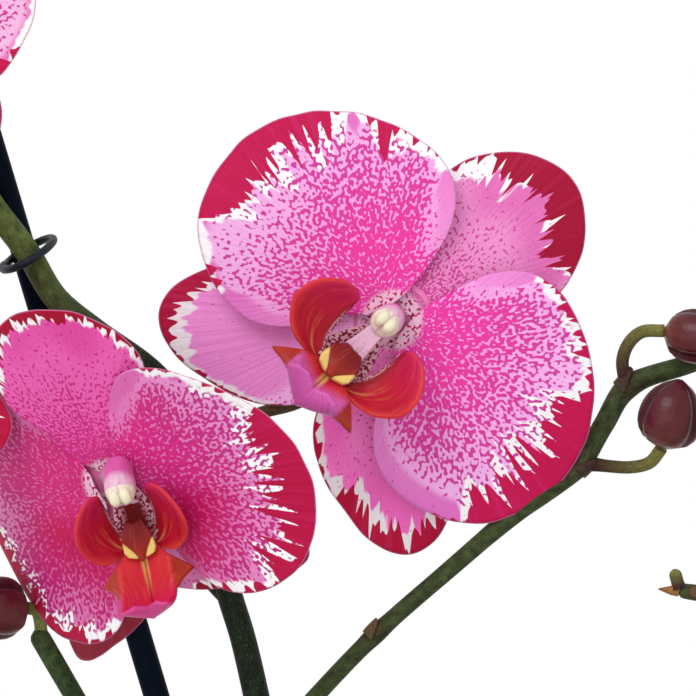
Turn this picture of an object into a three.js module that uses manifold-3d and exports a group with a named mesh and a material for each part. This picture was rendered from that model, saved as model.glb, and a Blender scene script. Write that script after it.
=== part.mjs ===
// Potted moth orchid: two branched flower spikes with five open flowers and
// seven closed buds, held by thin stakes, growing from a clear inner pot that
// stands in a plain glazed pot. Millimetres, +Z up, the front looks to -Y.
// The origin is the centre of the glazed pot's flat underside.
import * as THREE from "three";
import { mergeVertices } from "three/addons/utils/BufferGeometryUtils.js";
import ManifoldModule from "manifold-3d";

// Driving sizes
const CLEARANCE = 0.35;
const POT_SIDES = 32;
const STAKE = { radius: 3, sides: 12 };
const STEM = { sides: 8, steps: 26 };
const BRANCH = { sides: 7, steps: 13 };
const TWIG_STEPS = 8;
const PEDICEL = { radius: 1.5, sides: 6, steps: 6 };
const BUD_SIDES = 8;
const RING_CLIP = { wire: 0.9, sides: 5, steps: 16 };
const COLUMN = { receptacle: 3.1, ovary: 9, sides: 9 };
const PETAL = { clawRadius: 3.2, thickness: 0.9, rings: 2 };
const SEPAL_DROP = 1.7;

const COLOUR = {
  petal: 0xd9459c, sepal: 0xc8327c, lip: 0xb8262c, column: 0xe9c4d4, stem: 0x46603a,
  branch: 0x4e6b3c, bud: 0x632f35, leaf: 0x3d6636, root: 0x9aa58a, stake: 0x10202b,
  clip: 0x20262b, pot: 0xeeece6, growPot: 0xb9c2bd, bark: 0x6b4630,
};

// Materials
function material(colour, roughness) {
  return new THREE.MeshStandardMaterial({ color: colour, roughness, metalness: 0 });
}
const MATERIAL = {
  petal: material(COLOUR.petal, 0.55),
  sepal: material(COLOUR.sepal, 0.55),
  lip: material(COLOUR.lip, 0.4),
  column: material(COLOUR.column, 0.45),
  stem: material(COLOUR.stem, 0.55),
  branch: material(COLOUR.branch, 0.55),
  bud: material(COLOUR.bud, 0.5),
  leaf: material(COLOUR.leaf, 0.4),
  root: material(COLOUR.root, 0.7),
  stake: material(COLOUR.stake, 0.45),
  clip: material(COLOUR.clip, 0.5),
  pot: material(COLOUR.pot, 0.2),
  growPot: material(COLOUR.growPot, 0.3),
  bark: material(COLOUR.bark, 0.9),
};

const object = new THREE.Group();
object.name = "potted_moth_orchid";

const wasm = await ManifoldModule();
wasm.setup();

const vec = (x, y, z) => new THREE.Vector3(x, y, z);
const vectors = (points) => points.map((p) => vec(...p));
const lerp = THREE.MathUtils.lerp;
const radians = THREE.MathUtils.degToRad;

// The value at a share of the way through evenly spread values
function valueAt(values, share) {
  const place = share * (values.length - 1);
  const low = Math.min(Math.floor(place), values.length - 2);
  return lerp(values[low], values[low + 1], place - low);
}

function add(name, geometry, mat) {
  geometry.computeVertexNormals();
  const mesh = new THREE.Mesh(geometry, mat);
  mesh.name = name;
  object.add(mesh);
  return mesh;
}

// Solids made of rows of points
function geometryFrom(points, faces) {
  const geometry = new THREE.BufferGeometry();
  const positions = points.flatMap((p) => [p.x, p.y, p.z]);
  geometry.setAttribute("position", new THREE.Float32BufferAttribute(positions, 3));
  geometry.setIndex(faces.flat());
  return geometry;
}

// A smooth curve through the points, sampled evenly by the curve's own parameter
function curveThrough(points, count) {
  const curve = new THREE.CatmullRomCurve3(vectors(points));
  return Array.from({ length: count }, (_, i) => curve.getPoint(i / (count - 1)));
}

// A round limb along a path: radii are spread evenly from its start to its end
function limb(path, radii, sides) {
  const points = [];
  const faces = [];
  const rings = path.length;
  let side = null;
  path.forEach((centre, i) => {
    const before = path[Math.max(i - 1, 0)];
    const after = path[Math.min(i + 1, rings - 1)];
    const along = after.clone().sub(before).normalize();
    if (!side) side = Math.abs(along.y) < 0.9 ? vec(0, 1, 0) : vec(1, 0, 0);
    side = side.clone().addScaledVector(along, -side.dot(along)).normalize();
    const up = along.clone().cross(side);
    const radius = valueAt(radii, i / (rings - 1));
    for (let k = 0; k < sides; k += 1) {
      const angle = (2 * Math.PI * k) / sides;
      points.push(centre.clone()
        .addScaledVector(side, radius * Math.cos(angle))
        .addScaledVector(up, radius * Math.sin(angle)));
    }
  });
  for (let i = 0; i < rings - 1; i += 1) {
    for (let k = 0; k < sides; k += 1) {
      const a = i * sides + k;
      const b = i * sides + ((k + 1) % sides);
      faces.push([a, b, b + sides], [a, b + sides, a + sides]);
    }
  }
  const start = points.push(path[0].clone()) - 1;
  const end = points.push(path[rings - 1].clone()) - 1;
  const last = (rings - 1) * sides;
  for (let k = 0; k < sides; k += 1) {
    const next = (k + 1) % sides;
    faces.push([start, next, k], [end, last + k, last + next]);
  }
  return geometryFrom(points, faces);
}

// A thick sheet: rows and columns of its middle surface, with its own thickness
function sheet(surface, rows, columns, thickness) {
  const middle = [];
  for (let i = 0; i <= rows; i += 1) {
    for (let j = 0; j <= columns; j += 1) middle.push(surface(i / rows, j / columns));
  }
  const at = (i, j) => i * (columns + 1) + j;
  const front = [];
  const back = [];
  for (let i = 0; i <= rows; i += 1) {
    for (let j = 0; j <= columns; j += 1) {
      const along = middle[at(Math.min(i + 1, rows), j)].clone().sub(middle[at(Math.max(i - 1, 0), j)]);
      const across = middle[at(i, Math.min(j + 1, columns))].clone()
        .sub(middle[at(i, Math.max(j - 1, 0))]);
      const normal = along.cross(across).normalize().multiplyScalar(thickness / 2);
      front.push(middle[at(i, j)].clone().add(normal));
      back.push(middle[at(i, j)].clone().sub(normal));
    }
  }
  const count = front.length;
  const faces = [];
  for (let i = 0; i < rows; i += 1) {
    for (let j = 0; j < columns; j += 1) {
      const [a, b, c, d] = [at(i, j), at(i + 1, j), at(i + 1, j + 1), at(i, j + 1)];
      faces.push([a, b, c], [a, c, d]);
      faces.push([a + count, c + count, b + count], [a + count, d + count, c + count]);
    }
  }
  const rim = [];
  for (let i = 0; i < rows; i += 1) rim.push(at(i, 0));
  for (let j = 0; j < columns; j += 1) rim.push(at(rows, j));
  for (let i = rows; i > 0; i -= 1) rim.push(at(i, columns));
  for (let j = columns; j > 0; j -= 1) rim.push(at(0, j));
  rim.forEach((a, k) => {
    const b = rim[(k + 1) % rim.length];
    faces.push([b, a, a + count], [b, a + count, b + count]);
  });
  return geometryFrom([...front, ...back], faces);
}

function lathe(profile, sides) {
  const outline = profile.map(([radius, z]) => new THREE.Vector2(radius, z));
  return new THREE.LatheGeometry(outline, sides).rotateX(Math.PI / 2);
}

// Joining and cutting of solids
function solid(geometry) {
  const bare = geometry.clone();
  bare.deleteAttribute("normal");
  bare.deleteAttribute("uv");
  const welded = mergeVertices(bare, 1e-4);
  const mesh = new wasm.Mesh({
    numProp: 3,
    vertProperties: new Float32Array(welded.attributes.position.array),
    triVerts: new Uint32Array(welded.index.array),
  });
  return new wasm.Manifold(mesh);
}

function geometryOf(body) {
  const mesh = body.getMesh();
  const geometry = new THREE.BufferGeometry();
  geometry.setAttribute("position", new THREE.BufferAttribute(mesh.vertProperties, mesh.numProp));
  geometry.setIndex(new THREE.BufferAttribute(mesh.triVerts, 1));
  return geometry;
}

function joined(geometries) {
  return geometries.map(solid).reduce((whole, next) => whole.add(next));
}

// Petal and sepal outlines, from the claw round by the right side, in their own plane
const PETAL_OUTLINE = [
  [2.4, 0.3], [7, 3.5], [15, 7], [22, 10], [27.5, 15.5], [28.2, 24], [24, 33.3], [17, 42], [8.8, 47.8],
  [0, 50.7], [-10, 50.8], [-19.2, 47.4], [-26.4, 41.8], [-30.4, 34.1], [-31.8, 23], [-29.3, 14.2],
  [-22.5, 8], [-12, 4.5], [-6, 3], [-2.4, 0.3],
];
const LATERAL_OUTLINE = [
  [2.2, 0.3], [4, 3.5], [9.5, 11], [12.5, 19], [13, 27], [11.5, 35], [7.5, 45], [3.3, 51], [-1.8, 53.7],
  [-6.8, 53], [-12, 49.5], [-16, 43.5], [-20.1, 35], [-22, 25.8], [-20.8, 18], [-14, 9.5], [-5, 3.5],
  [-2.2, 0.3],
];
const DORSAL_HALF = [
  [2.2, 0.3], [5, 3.5], [11.5, 13.8], [17.6, 22], [19.2, 29.5], [17.3, 37], [13.5, 42.8], [7.6, 47.8],
];
const FAN_CENTRE = [0, 4];
const mirror = (outline) => outline.map(([x, y]) => [-x, y]).reverse();
const OUTLINE = {
  dorsal_sepal: [...DORSAL_HALF, [0, 49.9], ...mirror(DORSAL_HALF)],
  petal_left: PETAL_OUTLINE,
  petal_right: mirror(PETAL_OUTLINE),
  lateral_sepal_left: LATERAL_OUTLINE,
  lateral_sepal_right: mirror(LATERAL_OUTLINE),
};

// How each organ leaves the flower: angle round the axis and backward tilt in
// degrees, in mm how far its tip bows back and its sides curl back, then its size
// and, for a narrow one, its breadth and how much of that is pinched off at the tip
const FULL_SIZE = { scale: 1, breadth: 1, pinch: 0 };
const USUAL_POSE = {
  dorsal_sepal: { angle: 86, tilt: 10, bow: 3, curl: 3 },
  petal_left: { angle: 168, tilt: 6, bow: 4, curl: 0 },
  petal_right: { angle: 11, tilt: 6, bow: 4, curl: 0 },
  lateral_sepal_left: { angle: 224.5, tilt: 10, bow: 3, curl: 2 },
  lateral_sepal_right: { angle: 324, tilt: 10, bow: 3, curl: 2 },
};
const NODDING_POSE = {
  dorsal_sepal: { angle: 85.5, tilt: -12, bow: 0, curl: 4.8, scale: 0.92, breadth: 1.08 },
  petal_left: { angle: 186, tilt: 16.2, bow: 8.5, curl: -3, scale: 0.93, breadth: 1.2 },
  petal_right: { angle: 2.5, tilt: -12.2, bow: 3, curl: -2.5, scale: 0.985, breadth: 0.98 },
  lateral_sepal_left: {
    angle: 230, tilt: 16.2, bow: 3, curl: 0, scale: 1.2, breadth: 0.68, pinch: 0.3,
  },
  lateral_sepal_right: { angle: 302, tilt: 29.8, bow: 4, curl: 0, scale: 0.955 },
};

// The flowers: centre in mm, then yaw, pitch and roll in degrees
const FLOWERS = {
  flower_a: { centre: vec(-19.7, 0, 446.4), turn: [-4, 4, -48], pose: USUAL_POSE, size: 1 },
  flower_b: { centre: vec(-83.8, -21, 408.5), turn: [-21.8, 24.8, 12.9], pose: NODDING_POSE, size: 1 },
  flower_c: { centre: vec(-148.4, 0, 528), turn: [-34, 6, -12], pose: USUAL_POSE, size: 0.96 },
  flower_d: { centre: vec(-151.8, -9.8, 438), turn: [-30, 10, 15], pose: USUAL_POSE, size: 0.86 },
  flower_e: { centre: vec(150, -4, 500), turn: [16, 8, 10], pose: USUAL_POSE, size: 0.98 },
};

// Rows run from the flower's own right, up and forward to the world
function flowerMatrix({ centre, turn, size }) {
  const [yaw, pitch, roll] = turn.map(radians);
  const toFront = new THREE.Matrix4().makeBasis(vec(1, 0, 0), vec(0, 0, 1), vec(0, -1, 0));
  return new THREE.Matrix4().makeTranslation(centre.x, centre.y, centre.z)
    .multiply(toFront)
    .multiply(new THREE.Matrix4().makeRotationY(yaw))
    .multiply(new THREE.Matrix4().makeRotationX(pitch))
    .multiply(new THREE.Matrix4().makeRotationZ(roll))
    .multiply(new THREE.Matrix4().makeScale(size, size, size));
}

// A point of an organ's flat outline, bent and put on the flower
const BEND_LENGTH = 50;
const BEND_WIDTH = 20;
function organPoint(x, y, lift, pose, drop) {
  const angle = radians(pose.angle);
  const tilt = radians(pose.tilt);
  const reach = y / BEND_LENGTH;
  const height = lift - pose.bow * reach ** 2 - pose.curl * (x / BEND_WIDTH) ** 2 * reach;
  const out = y * Math.cos(tilt) + height * Math.sin(tilt) + PETAL.clawRadius;
  const forward = -y * Math.sin(tilt) + height * Math.cos(tilt) - drop;
  return vec(
    out * Math.cos(angle) + x * Math.sin(angle),
    out * Math.sin(angle) - x * Math.cos(angle),
    forward,
  );
}

function organ(kind, pose) {
  const outline = OUTLINE[kind].map(([x, y]) => {
    const length = y * pose.scale;
    const kept = 1 - pose.pinch * (length / BEND_LENGTH) ** 2;
    return [x * pose.scale * pose.breadth * kept, length];
  });
  const drop = kind.includes("sepal") ? SEPAL_DROP : 0;
  const points = outline.map(([x, y]) => organPoint(x, y, 0, pose, drop));
  const rim = outline.map((_, k) => k);
  const faces = [];
  for (const side of [1, -1]) {
    const facing = (a, b, c) => faces.push(side > 0 ? [a, b, c] : [a, c, b]);
    const lift = (side * PETAL.thickness) / 2;
    const centre = points.push(organPoint(...FAN_CENTRE, lift, pose, drop)) - 1;
    let inner = [];
    for (let ring = 1; ring <= PETAL.rings; ring += 1) {
      const share = ring / PETAL.rings;
      const current = ring === PETAL.rings ? rim : outline.map(([edgeX, edgeY]) => {
        const x = lerp(FAN_CENTRE[0], edgeX, share);
        const y = lerp(FAN_CENTRE[1], edgeY, share);
        return points.push(organPoint(x, y, lift, pose, drop)) - 1;
      });
      rim.forEach((_, k) => {
        const next = (k + 1) % rim.length;
        if (ring === 1) facing(centre, current[k], current[next]);
        else {
          facing(inner[k], current[k], current[next]);
          facing(inner[k], current[next], inner[next]);
        }
      });
      inner = current;
    }
  }
  return geometryFrom(points, faces);
}

// The column with its anther cap, on the receptacle and the end of the ovary
const COLUMN_PATH = [
  [0, 0, -COLUMN.ovary], [0, 0, -5], [0, 0, -1.5], [0, 0, 1.5], [0, -0.2, 4], [0, -0.6, 7], [0, -1.4, 9.6],
  [0, -2, 10.8],
];
const COLUMN_RADII = [1.7, 2.1, COLUMN.receptacle, COLUMN.receptacle, 2.9, 3.3, 3, 1.2];
const columnGeometry = () => limb(vectors(COLUMN_PATH), COLUMN_RADII, COLUMN.sides);

// The lip: two upright side lobes, the crest between them and the anchor-shaped midlobe
const LIP = { lobeThickness: 1.1, midlobeThickness: 1.6, roof: 0.035, barSides: 5 };
const LOBE_BULGE = { down: 1.32, forward: 1.76, start: 0.1 };
const LOBE_INNER = [[-2.2, -14.5, 4.5], [-5.6, -9.5, 6.5], [-7.2, -2.5, 9]];
const LOBE_OUTER = [[-2.4, -18.2, 7.5], [-14.6, -15.6, 11], [-16.8, -7.4, 13], [-11.4, -2, 13]];
const MIDLOBE_PATH = [[0, -14.5, 6], [0, -18, 10], [0, -21.5, 15], [0, -24.5, 20.5]];
const MIDLOBE_HALF_WIDTHS = [2.4, 8.5, 10.5, 7.6, 5.6, 1.6];
const STRAP = { path: [[0, -3.6, 2.2], [0, -15.4, 6.4]], radii: [1.5, 1.5] };
const CREST = { path: [[0, -14, 5.5], [0, -15.2, 9.4], [0, -16, 11.6]], radii: [2.6, 2.3, 1.1] };

function lobeSurface(side) {
  const inner = new THREE.CatmullRomCurve3(vectors(LOBE_INNER));
  const outer = new THREE.CatmullRomCurve3(vectors(LOBE_OUTER));
  return (u, v) => {
    const across = side < 0 ? 1 - v : v;
    const point = inner.getPoint(u).lerp(outer.getPoint(u), across);
    const rise = Math.min(u + LOBE_BULGE.start, 1);
    const swell = Math.sin(Math.PI * across) * Math.sin(Math.PI * rise);
    point.y -= LOBE_BULGE.down * swell;
    point.z -= LOBE_BULGE.forward * swell;
    point.x *= side;
    return point;
  };
}

function midlobeSurface(u, v) {
  const centre = new THREE.CatmullRomCurve3(vectors(MIDLOBE_PATH)).getPoint(u);
  const x = valueAt(MIDLOBE_HALF_WIDTHS, u) * (2 * v - 1);
  return vec(x, centre.y - LIP.roof * x * x, centre.z);
}

const lipGeometry = () => geometryOf(joined([
  sheet(lobeSurface(1), 4, 2, LIP.lobeThickness),
  sheet(lobeSurface(-1), 4, 2, LIP.lobeThickness),
  sheet(midlobeSurface, 5, 4, LIP.midlobeThickness),
  limb(vectors(STRAP.path), STRAP.radii, LIP.barSides),
  limb(vectors(CREST.path), CREST.radii, LIP.barSides),
]));

for (const [name, flower] of Object.entries(FLOWERS)) {
  const matrix = flowerMatrix(flower);
  for (const kind of Object.keys(OUTLINE)) {
    const mat = kind.includes("sepal") ? MATERIAL.sepal : MATERIAL.petal;
    const pose = { ...FULL_SIZE, ...flower.pose[kind] };
    add(`${name}_${kind}`, organ(kind, pose).applyMatrix4(matrix), mat);
  }
  add(`${name}_lip`, lipGeometry().applyMatrix4(matrix), MATERIAL.lip);
  add(`${name}_column`, columnGeometry().applyMatrix4(matrix), MATERIAL.column);
}

// Stems: each path runs from where it leaves its parent to its tip, with radii along it
const SPIKE_LEFT = {
  path: [
    [-10.5, 9, 133], [-13, 11, 165], [-18, 12, 205], [-28, 12, 250], [-38.5, 12, 300], [-47.8, 12, 343],
    [-54.2, 12, 372], [-58.3, 12, 386], [-61.6, 12, 409], [-67.4, 12, 424.6], [-75.7, 12, 434.5],
    [-88.8, 12, 444], [-97.8, 12, 451.6], [-103.6, 12, 462], [-108.6, 12, 473.5], [-114, 11.6, 486],
    [-121, 11.6, 508], [-126, 13, 532], [-128, 20, 555], [-137, 21.5, 576], [-154, 13, 590],
    [-176, 6, 597], [-197, -2, 594],
  ],
  radii: [4.1, 3.9, 3.7, 3.6, 3.5, 3.4, 3.2, 3.3, 3.1, 3, 3, 3, 3, 3, 2.9, 2.8, 2.7, 2.6, 2.4, 2.1, 1.8, 1.3],
};
const SPIKE_RIGHT = {
  path: [
    [10, -9.5, 133], [14, -9, 165], [25, -6.5, 210], [42, -5, 260], [60, -4, 310], [76, -3, 360],
    [88, -1.6, 400], [100, 2, 440], [116, 8, 476], [138, 12, 508], [162, 8, 532], [184, 2, 546],
  ],
  radii: [4, 3.8, 3.6, 3.4, 3.3, 3.2, 3.1, 2.9, 2.7, 2.4, 2, 1.3],
};
const PEDICELS_LEFT = [
  [[-61.8, 12, 413], [-52.5, 13, 423.8], [-41, 14, 427.6], [-28, 15, 437], [-19.5, 14, 446], [-19, 9.8, 447]],
  [[-58, 12, 382], [-66, 17, 390], [-73, 17.4, 400], [-77, 7, 411], [-79.2, -9.6, 414.2],
    [-80.6, -13, 412.5]],
  [[-121, 11.4, 508], [-124, 13, 517], [-131, 13.4, 525.6], [-140, 12, 529.3], [-143.5, 7.6, 529]],
  [[-93, 12, 448], [-102, 13, 444.6], [-116, 13.4, 441.6], [-132, 8, 440.8], [-143.6, 2, 440.4],
    [-147.6, -2.8, 439.5]],
  [[-154, 13, 590], [-159, 10, 581], [-164, 7, 574.5]],
];
const PEDICELS_RIGHT = [
  [[124, 9.5, 488], [138, 15, 494], [145.6, 12, 500.6], [147.4, 5.2, 501.3]],
];
const BRANCH_RIGHT = {
  path: [
    [-43.8, 12, 352], [-37.2, 12, 359.5], [-23.7, 12, 373.5], [-6.4, 12, 388.7], [9.2, 12, 402],
    [23.4, 12, 412.6], [29.2, 12, 422], [35, 12, 431], [50.6, 12, 436.8], [64, 13, 442.6],
    [74, 14, 450.6],
  ],
  radii: [2, 2, 2, 2, 2.1, 2.5, 2.3, 2.5, 2.3, 1.9, 1.4],
};
const PEDICELS_BRANCH = [
  [[24.5, 12, 413.4], [30.5, 11, 412.6], [35.7, 10, 412.4], [39.8, 8.4, 413.5], [42.2, 6.4, 416.4]],
  [[35, 12, 431], [33.6, 11, 436.6], [35, 10, 441], [38, 9.2, 443.7], [42.6, 8.4, 444]],
];
const BRANCH_LEFT = {
  path: [[-32.4, 8.3, 245.4], [-46, 8, 274], [-69, 10, 318], [-93.9, 17, 359.2], [-102.9, 20, 374.2]],
  radii: [2.5, 2.5, 2.4, 2.3, 2.4],
};
const PEDICELS_BRANCH_LEFT = [
  [[-101.6, 19.8, 372], [-101.8, 20, 375.6], [-102.6, 19.6, 378.6], [-104.2, 17.6, 379.5]],
];
const BRANCH_TIP = {
  path: [[78, -4.6, 378.6], [66, -6, 380.4], [56, -6, 383], [49.6, -6, 384], [44.6, -6, 384.6],
    [41.3, -6, 385.2]],
  radii: [1.8, 1.7, 1.6, 1.6, 1.9, 0.5],
};
const TIP_KNOB = { path: [[45.6, -6, 385], [44.6, -6.2, 389.4]], radii: [1.5, 1.1] };

// Buds: from the pedicel's end to the bud's tip, and the widest radius
const BUDS = {
  bud_right_low: { from: [42.8, 5.8, 417.2], to: [46.4, 1.6, 432.6], radius: 7.4 },
  bud_right_high: { from: [43.6, 8.1, 443.8], to: [60.4, 1.4, 441], radius: 6.3 },
  bud_right_end: { from: [74.4, 14.1, 451.1], to: [82.5, 15.5, 461.6], radius: 4.6 },
  bud_left_low: { from: [-105.1, 16.5, 379.5], to: [-119.6, 9.8, 379.7], radius: 7.3 },
  bud_spike_left_side: { from: [-164.4, 6.8, 574.1], to: [-174, 3, 562.5], radius: 6 },
  bud_spike_left_end: { from: [-197.6, -2.2, 593.9], to: [-210.5, -7, 590], radius: 5 },
  bud_spike_right_end: { from: [184.6, 1.8, 546.2], to: [196.5, -2, 549], radius: 4.8 },
};
const BUD_PROFILE = [0.36, 0.84, 0.99, 1, 0.88, 0.6, 0.18];

const smoothLimb = ({ path, radii }, { sides, steps }) =>
  limb(curveThrough(path, steps), radii, sides);
const pedicel = (path) => smoothLimb({ path, radii: [PEDICEL.radius, PEDICEL.radius] }, PEDICEL);
const stemWith = (stem, pedicels, grid) =>
  geometryOf(joined([smoothLimb(stem, grid), ...pedicels.map(pedicel)]));

add("spike_left", stemWith(SPIKE_LEFT, PEDICELS_LEFT, STEM), MATERIAL.stem);
add("spike_right", stemWith(SPIKE_RIGHT, PEDICELS_RIGHT, STEM), MATERIAL.stem);
add("branch_right", stemWith(BRANCH_RIGHT, PEDICELS_BRANCH, BRANCH), MATERIAL.branch);
add("branch_left", stemWith(BRANCH_LEFT, PEDICELS_BRANCH_LEFT, BRANCH), MATERIAL.branch);
const knob = limb(vectors(TIP_KNOB.path), TIP_KNOB.radii, BRANCH.sides);
const tipStem = smoothLimb(BRANCH_TIP, { sides: BRANCH.sides, steps: TWIG_STEPS });
add("branch_tip", geometryOf(joined([tipStem, knob])), MATERIAL.branch);

for (const [name, { from, to, radius }] of Object.entries(BUDS)) {
  const path = BUD_PROFILE.map((_, i) =>
    vec(...from).lerp(vec(...to), i / (BUD_PROFILE.length - 1)));
  add(name, limb(path, BUD_PROFILE.map((share) => share * radius), BUD_SIDES), MATERIAL.bud);
}

// Stakes, straight from the bark up, and the ring clips round a stake and its stem
const STAKES = {
  stake_left: { from: [22.1, 18.6, 35], to: [-122.8, 18.6, 520] },
  stake_right: { from: [-4, -15, 35], to: [98, -8.6, 430] },
};
const rod = (ends, radius, sides) => limb(ends, [radius, radius], sides);
for (const [name, { from, to }] of Object.entries(STAKES)) {
  add(name, rod(vectors([from, to]), STAKE.radius, STAKE.sides), MATERIAL.stake);
}
const RING_CLIPS = {
  clip_left: { centre: [-104.2, 15.3, 461.9], slope: 29, across: 6.5, deep: 8.4 },
  clip_right: { centre: [88.9, -5.4, 399], slope: -16, across: 6.1, deep: 8.8 },
};
for (const [name, { centre, slope, across, deep }] of Object.entries(RING_CLIPS)) {
  const ring = new THREE.EllipseCurve(0, 0, across, deep, 0, 2 * Math.PI)
    .getPoints(RING_CLIP.steps).slice(0, RING_CLIP.steps);
  const path = new THREE.CatmullRomCurve3(ring.map((p) => vec(p.x, p.y, 0)), true);
  add(name, new THREE.TubeGeometry(path, RING_CLIP.steps, RING_CLIP.wire, RING_CLIP.sides, true)
    .rotateY(-radians(slope)).translate(...centre), MATERIAL.clip);
}

// Crown and roots
const CROWN = { path: [[0, 0, 100], [0, 0, 161]], radii: [8.4, 8.4, 8.2, 7.8, 7, 5.4], sides: 14 };
const ROOT = { sides: 7, steps: 9, radii: [2.9, 2.7, 2.6, 2.4, 1.6] };
const ROOTS = [
  [[-4, -3, 119], [-14, -10, 121.5], [-30, -21, 121.5], [-46, -30, 124], [-60, -38, 128], [-73, -44, 124],
    [-79, -47, 112]],
  [[4, -6, 118.4], [11, -26, 119.4], [19, -42, 118], [23, -48, 114.4]],
  [[1, 5, 119], [8, 22, 121], [14, 40, 122.4], [20, 57, 128], [24, 70, 129], [26, 80, 120]],
  [[-5, 1, 118.4], [-24, 5, 119.8], [-42, 10, 117.8], [-50, 12, 114.2]],
];
const crown = limb(curveThrough(CROWN.path, CROWN.radii.length), CROWN.radii, CROWN.sides);
const roots = ROOTS.map((path) => smoothLimb({ path, radii: ROOT.radii }, ROOT));
add("crown_and_roots", geometryOf(joined([crown, ...roots])), MATERIAL.root);

// Leaves: azimuth and rise in degrees, the start's distance from the axis and height,
// then length, half width and how far the tip hangs below the start
const LEAVES = {
  leaf_1: { azimuth: 203, rise: 16, start: 8.9, base: 131, length: 205, half: 37, drop: 46 },
  leaf_2: { azimuth: 31, rise: 18, start: 8.9, base: 131, length: 215, half: 38, drop: 40 },
  leaf_3: { azimuth: 60, rise: 34, start: 8.3, base: 142, length: 175, half: 33, drop: 8 },
  leaf_4: { azimuth: 250, rise: 26, start: 8.1, base: 141, length: 180, half: 35, drop: 30 },
  leaf_5: { azimuth: 222, rise: 50, start: 7.5, base: 150, length: 120, half: 27, drop: -30 },
};
const LEAF = { rows: 9, columns: 4, thickness: 2.2, fold: 0.32, unfolding: 0.7 };
const LEAF_ARCH = { rise: 0.35, crest: 0.72, reach: 0.95 };
const LEAF_WIDTHS = [0.24, 0.3, 0.52, 0.78, 0.95, 1, 0.97, 0.82, 0.5, 0.1];
function leafSurface({ azimuth, rise, start, base, length, half, drop }) {
  const top = base + length * LEAF_ARCH.rise * Math.tan(radians(rise));
  const spine = new THREE.CubicBezierCurve(
    new THREE.Vector2(start, base),
    new THREE.Vector2(start + length * LEAF_ARCH.rise, top),
    new THREE.Vector2(start + length * LEAF_ARCH.crest, top),
    new THREE.Vector2(start + length * LEAF_ARCH.reach, base - drop),
  );
  return (u, v) => {
    const across = (2 * v - 1) * half * valueAt(LEAF_WIDTHS, u);
    const point = spine.getPoint(u);
    const raised = point.y + LEAF.fold * Math.abs(across) * (1 - LEAF.unfolding * u);
    return vec(point.x, across, raised).applyAxisAngle(vec(0, 0, 1), radians(azimuth));
  };
}
for (const [name, leaf] of Object.entries(LEAVES)) {
  add(name, sheet(leafSurface(leaf), LEAF.rows, LEAF.columns, LEAF.thickness), MATERIAL.leaf);
}

// Pots, and the bark mix cut where the crown and the stakes stand in it
const CERAMIC_PROFILE = [
  [0, 0], [45, 0], [47, 2], [56, 60], [63.5, 112], [66, 117], [66, 120], [64, 122], [62.6, 122],
  [61, 120], [61, 117], [58.5, 111], [51, 60], [43, 10], [40, 7], [0, 7],
];
const GROW_POT_PROFILE = [
  [0, 7.4], [34, 7.4], [36, 9.4], [56.2, 112], [57.6, 119], [60.4, 119], [60.4, 121], [56.3, 121],
  [54.9, 112], [34.8, 9.6], [33.6, 8.7], [0, 8.7],
];
const HOLE = { crownTop: 130, stakeDepth: 100 };
const BARK_PROFILE = [[0, 9.1], [33.3, 9.1], [34.4, 10], [54.2, 110], [40, 113], [20, 114.6], [0, 115]];
add("ceramic_pot", lathe(CERAMIC_PROFILE, POT_SIDES), MATERIAL.pot);
add("grow_pot", lathe(GROW_POT_PROFILE, POT_SIDES), MATERIAL.growPot);
const crownBottom = CROWN.path[0][2] - CLEARANCE;
const crownHole = rod([vec(0, 0, crownBottom), vec(0, 0, HOLE.crownTop)],
  CROWN.radii[0] + CLEARANCE, CROWN.sides);
const stakeHoles = Object.values(STAKES).map(({ from, to }) => {
  const along = vec(...to).sub(vec(...from)).normalize();
  const bottom = vec(...from).addScaledVector(along, -CLEARANCE);
  const top = vec(...from).addScaledVector(along, HOLE.stakeDepth);
  return rod([bottom, top], STAKE.radius + CLEARANCE, STAKE.sides);
});
const bark = [crownHole, ...stakeHoles]
  .reduce((body, hole) => body.subtract(solid(hole)), solid(lathe(BARK_PROFILE, POT_SIDES)));
add("bark_mix", geometryOf(bark), MATERIAL.bark);

export default object;
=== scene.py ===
# Potted moth orchid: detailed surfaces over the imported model.
# Constants are in millimetres and degrees; meshes are written in metres.
import math
import random

import bpy
import numpy as np
from mathutils import Matrix, Vector, noise


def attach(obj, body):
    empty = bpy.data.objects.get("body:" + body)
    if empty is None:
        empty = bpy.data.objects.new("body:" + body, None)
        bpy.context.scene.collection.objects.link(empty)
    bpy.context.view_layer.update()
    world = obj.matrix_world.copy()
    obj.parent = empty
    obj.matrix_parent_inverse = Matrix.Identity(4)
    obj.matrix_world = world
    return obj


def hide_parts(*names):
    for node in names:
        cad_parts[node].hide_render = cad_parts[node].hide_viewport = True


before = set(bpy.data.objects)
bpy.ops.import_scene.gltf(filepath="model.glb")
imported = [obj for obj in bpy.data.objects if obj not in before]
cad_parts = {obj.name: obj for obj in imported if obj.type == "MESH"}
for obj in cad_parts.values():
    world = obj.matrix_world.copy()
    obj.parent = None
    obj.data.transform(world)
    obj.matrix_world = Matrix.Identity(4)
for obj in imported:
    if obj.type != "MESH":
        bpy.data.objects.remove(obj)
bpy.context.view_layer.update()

METRES = 0.001
SEED = 7

# The view of the photograph: a level camera far in front, framing the two best blooms
CAMERA = {"x": -30.0, "z": 440.0, "distance": 1300.0, "frame_width": 160.0, "sensor": 36.0, "far": 60000}
# Below this, in millimetres, a length counts as nothing
TINY = 1e-9
# The radius on which a limb's surface is laid out for its material
FLAT_RADIUS = 3.0
# The thickness of a sheet's edge, as a share of its middle
SHEET_EDGE = 0.45


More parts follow.
